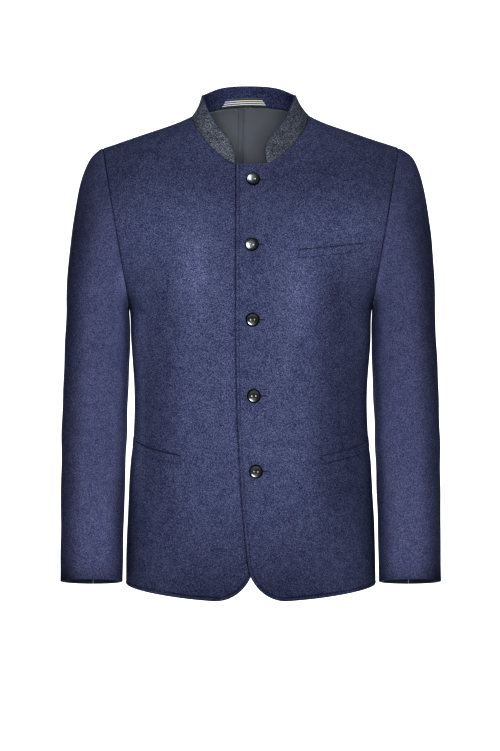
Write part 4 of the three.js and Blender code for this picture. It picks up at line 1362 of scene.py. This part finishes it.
def stitchTree(name, crosswise):
    # stitches along the edges of a line mesh, each lying on the cloth
    tree = bpy.data.node_groups.new(name, "GeometryNodeTree")
    face = tree.interface
    face.new_socket("Geometry", in_out="INPUT", socket_type="NodeSocketGeometry")
    for label, value in (("Length", 0.0026), ("Pitch", 0.0036), ("Thickness", 0.0004)):
        face.new_socket(label, in_out="INPUT", socket_type="NodeSocketFloat").default_value = value
    face.new_socket("Thread", in_out="INPUT", socket_type="NodeSocketMaterial")
    face.new_socket("Geometry", in_out="OUTPUT", socket_type="NodeSocketGeometry")
    node = tree.nodes.new
    link = tree.links.new
    source, result = node("NodeGroupInput"), node("NodeGroupOutput")
    path = node("GeometryNodeMeshToCurve")
    link(source.outputs["Geometry"], path.inputs["Mesh"])
    points = node("GeometryNodeCurveToPoints")
    points.mode = "LENGTH"
    link(path.outputs["Curve"], points.inputs["Curve"])
    link(source.outputs["Pitch"], points.inputs["Length"])
    bead = node("GeometryNodeMeshUVSphere")
    bead.inputs["Segments"].default_value = 6
    bead.inputs["Rings"].default_value = 5
    bead.inputs["Radius"].default_value = 0.5
    size = node("ShaderNodeCombineXYZ")
    link(source.outputs["Thickness"], size.inputs["X"])
    link(source.outputs["Thickness"], size.inputs["Y"])
    link(source.outputs["Length"], size.inputs["Z"])
    place = node("GeometryNodeInstanceOnPoints")
    link(points.outputs["Points"], place.inputs["Points"])
    link(bead.outputs["Mesh"], place.inputs["Instance"])
    direction = points.outputs["Tangent"]
    if crosswise:
        cross = node("ShaderNodeVectorMath")
        cross.operation = "CROSS_PRODUCT"
        cross.inputs[1].default_value = (0, -1, 0)
        link(direction, cross.inputs[0])
        direction = cross.outputs["Vector"]
    turn = node("FunctionNodeAlignRotationToVector")
    turn.axis = "Z"
    link(direction, turn.inputs["Vector"])
    link(turn.outputs["Rotation"], place.inputs["Rotation"])
    link(size.outputs["Vector"], place.inputs["Scale"])
    real = node("GeometryNodeRealizeInstances")
    link(place.outputs["Instances"], real.inputs["Geometry"])
    finish = node("GeometryNodeSetMaterial")
    link(real.outputs["Geometry"], finish.inputs["Geometry"])
    link(source.outputs["Thread"], finish.inputs["Material"])
    link(finish.outputs["Geometry"], result.inputs["Geometry"])
    return tree

stitchTrees = {False: stitchTree("stitchesAlong", False), True: stitchTree("stitchesAcross", True)}

def sewLines(name, lines, kind, thread, crosswise=False):
    points, edges = [], []
    for line in lines:
        start = len(points)
        points += ((np.asarray(line) - (0, 0, cut["origin"])) * mm).tolist()
        edges += [(k, k + 1) for k in range(start, len(points) - 1)]
    mesh = bpy.data.meshes.new(name)
    mesh.from_pydata(points, edges, [])
    holder = placed(name + "_line", mesh)
    tree = stitchTrees[crosswise]
    modifier = holder.modifiers.new("stitches", "NODES")
    modifier.node_group = tree
    sizes = stitch[kind]
    values = {word.capitalize(): size * mm for word, size in sizes.items()}
    values["Thread"] = materials[thread]
    for item in tree.interface.items_tree:
        if item.item_type == "SOCKET" and item.in_out == "INPUT" and item.name in values:
            modifier[item.identifier] = values[item.name]
    baked = bakeMesh(holder)
    bpy.data.objects.remove(holder)
    baked.materials.clear()
    baked.materials.append(materials[thread])
    finishPiece(placed(name, baked), [])

def onFront(word, across, height, lift):
    # points on the cloth of a front, own across coordinates
    across, height = np.broadcast_arrays(np.asarray(across, float), np.asarray(height, float))
    at = bodyPoint(across, height, -1)
    rise = bodyPoint(across, height + 1, -1) - bodyPoint(across, height - 1, -1)
    span = bodyPoint(across + 1, height, -1) - bodyPoint(across - 1, height, -1)
    normal = unit(np.cross(span, rise))
    points = at + normal * (frontRelief(word, at) + lift)[..., None]
    if word == "right":
        points = points * (-1, 1, 1)
    return points

def edgeStitchLine(word):
    heights = np.arange(60, 632, 4.0)
    return onFront(word, frontEdge(heights) + front["stitchInset"], heights, -0.15)

buttonhole = {
    "start": 2.0,  # from the button's middle
    "end": 17.6,
    "apart": 0.5,  # a row of stitches from the cut's middle
    "eye": 0.8,
    "cutEnd": 18.6,
    # radius of the painted shadow tube along the cut
    "cut": 0.55,
}

def buttonholes():
    rows, centres = [], []
    start, end, apart, eye = (buttonhole[k] for k in ("start", "end", "apart", "eye"))
    for across, height in button["places"]:
        reach = np.linspace(across + start, across + end, 24)
        for shift in (-apart, apart):
            rows.append(onFront("left", reach, height + shift, 0.05))
        slit = np.linspace(across + start, across + buttonhole["cutEnd"], 20)
        centres.append(onFront("left", slit, height, 0.1))
        t = np.linspace(-math.pi / 2, math.pi / 2, 9)
        rows.append(onFront("left", across + end + eye * np.cos(t), height + eye * np.sin(t), 0.05))
    return rows, centres

holeRows, holeCentres = buttonholes()
sewLines("buttonhole_stitches", holeRows, "hole", "darkThread", True)
# painted shadow: dark tubes along the buttonhole cuts
points, faces = joined([tube(line, buttonhole["cut"], 8) for line in holeCentres])
finishPiece(meshObject("buttonhole_cut_shadows", points, faces, ["cutShadow"]), [])
sewLines("front_edge_stitches", [edgeStitchLine("left")], "edge", "navyThread")

def weltTacks():
    rows = []
    for name, word, side in (("chest", "left", 1), ("hip", "left", 1), ("hip", "right", -1)):
        place = welts[name]
        first = welts["tack"]["from"]
        ends = [first, 1 - first] if name == "chest" else [first]
        for share in ends:
            ups = np.linspace(0.06, 0.94, 14)
            base, normals = weltPoints(place, np.array([share]), ups)
            lift = welts["gap"] + welts["wall"] * welts["tack"]["lift"] + frontRelief(word, base)
            points = base + normals * lift[..., None]
            rows.append(points[:, 0] * (side, 1, 1))
    return rows

sewLines("welt_tacks", weltTacks(), "tack", "navyThread", True)
print("stitches sewn")

floor = {
    "radius": 2.6,
    "height": -1.5,
    "corners": 96,
    "palesFrom": 2.0,  # distance from the origin at which the floor begins to pale
    "palesTo": 3.0,
    "glow": 0.45,
}

def makeFloor():
    count, radius, height = floor["corners"], floor["radius"], floor["height"]
    turns = [2 * math.pi * k / count for k in range(count)]
    points = [(0, 0, height)] + [(radius * math.cos(t), radius * math.sin(t), height) for t in turns]
    mesh = bpy.data.meshes.new("floor")
    mesh.from_pydata(points, [], [(0, k + 1, (k + 1) % count + 1) for k in range(count)])
    material, shader, node, link = nodeTools("paleFloor")
    grain = node("ShaderNodeTexNoise", Scale=3, Detail=2)
    link(node("ShaderNodeTexCoord").outputs["Object"], grain.inputs["Vector"])
    stops = ramp(node, link, grain.outputs["Fac"], [(0.3, (0.78, 0.78, 0.78)), (0.7, (0.82, 0.82, 0.82))])
    link(stops.outputs["Color"], shader.inputs["Base Color"])
    shader.inputs["Roughness"].default_value = 0.9
    # the floor glows towards its rim, painted light that pales it
    distance = node("ShaderNodeVectorMath", operation="LENGTH")
    link(node("ShaderNodeTexCoord").outputs["Object"], distance.inputs[0])
    glow = node("ShaderNodeMapRange")
    for socket, value in (("From Min", floor["palesFrom"]), ("From Max", floor["palesTo"]),
                          ("To Min", 0.0), ("To Max", floor["glow"])):
        glow.inputs[socket].default_value = value
    link(distance.outputs["Value"], glow.inputs["Value"])
    shader.inputs["Emission Color"].default_value = (1, 1, 1, 1)
    link(glow.outputs["Result"], shader.inputs["Emission Strength"])
    mesh.materials.append(material)
    placed("floor", mesh)

makeFloor()
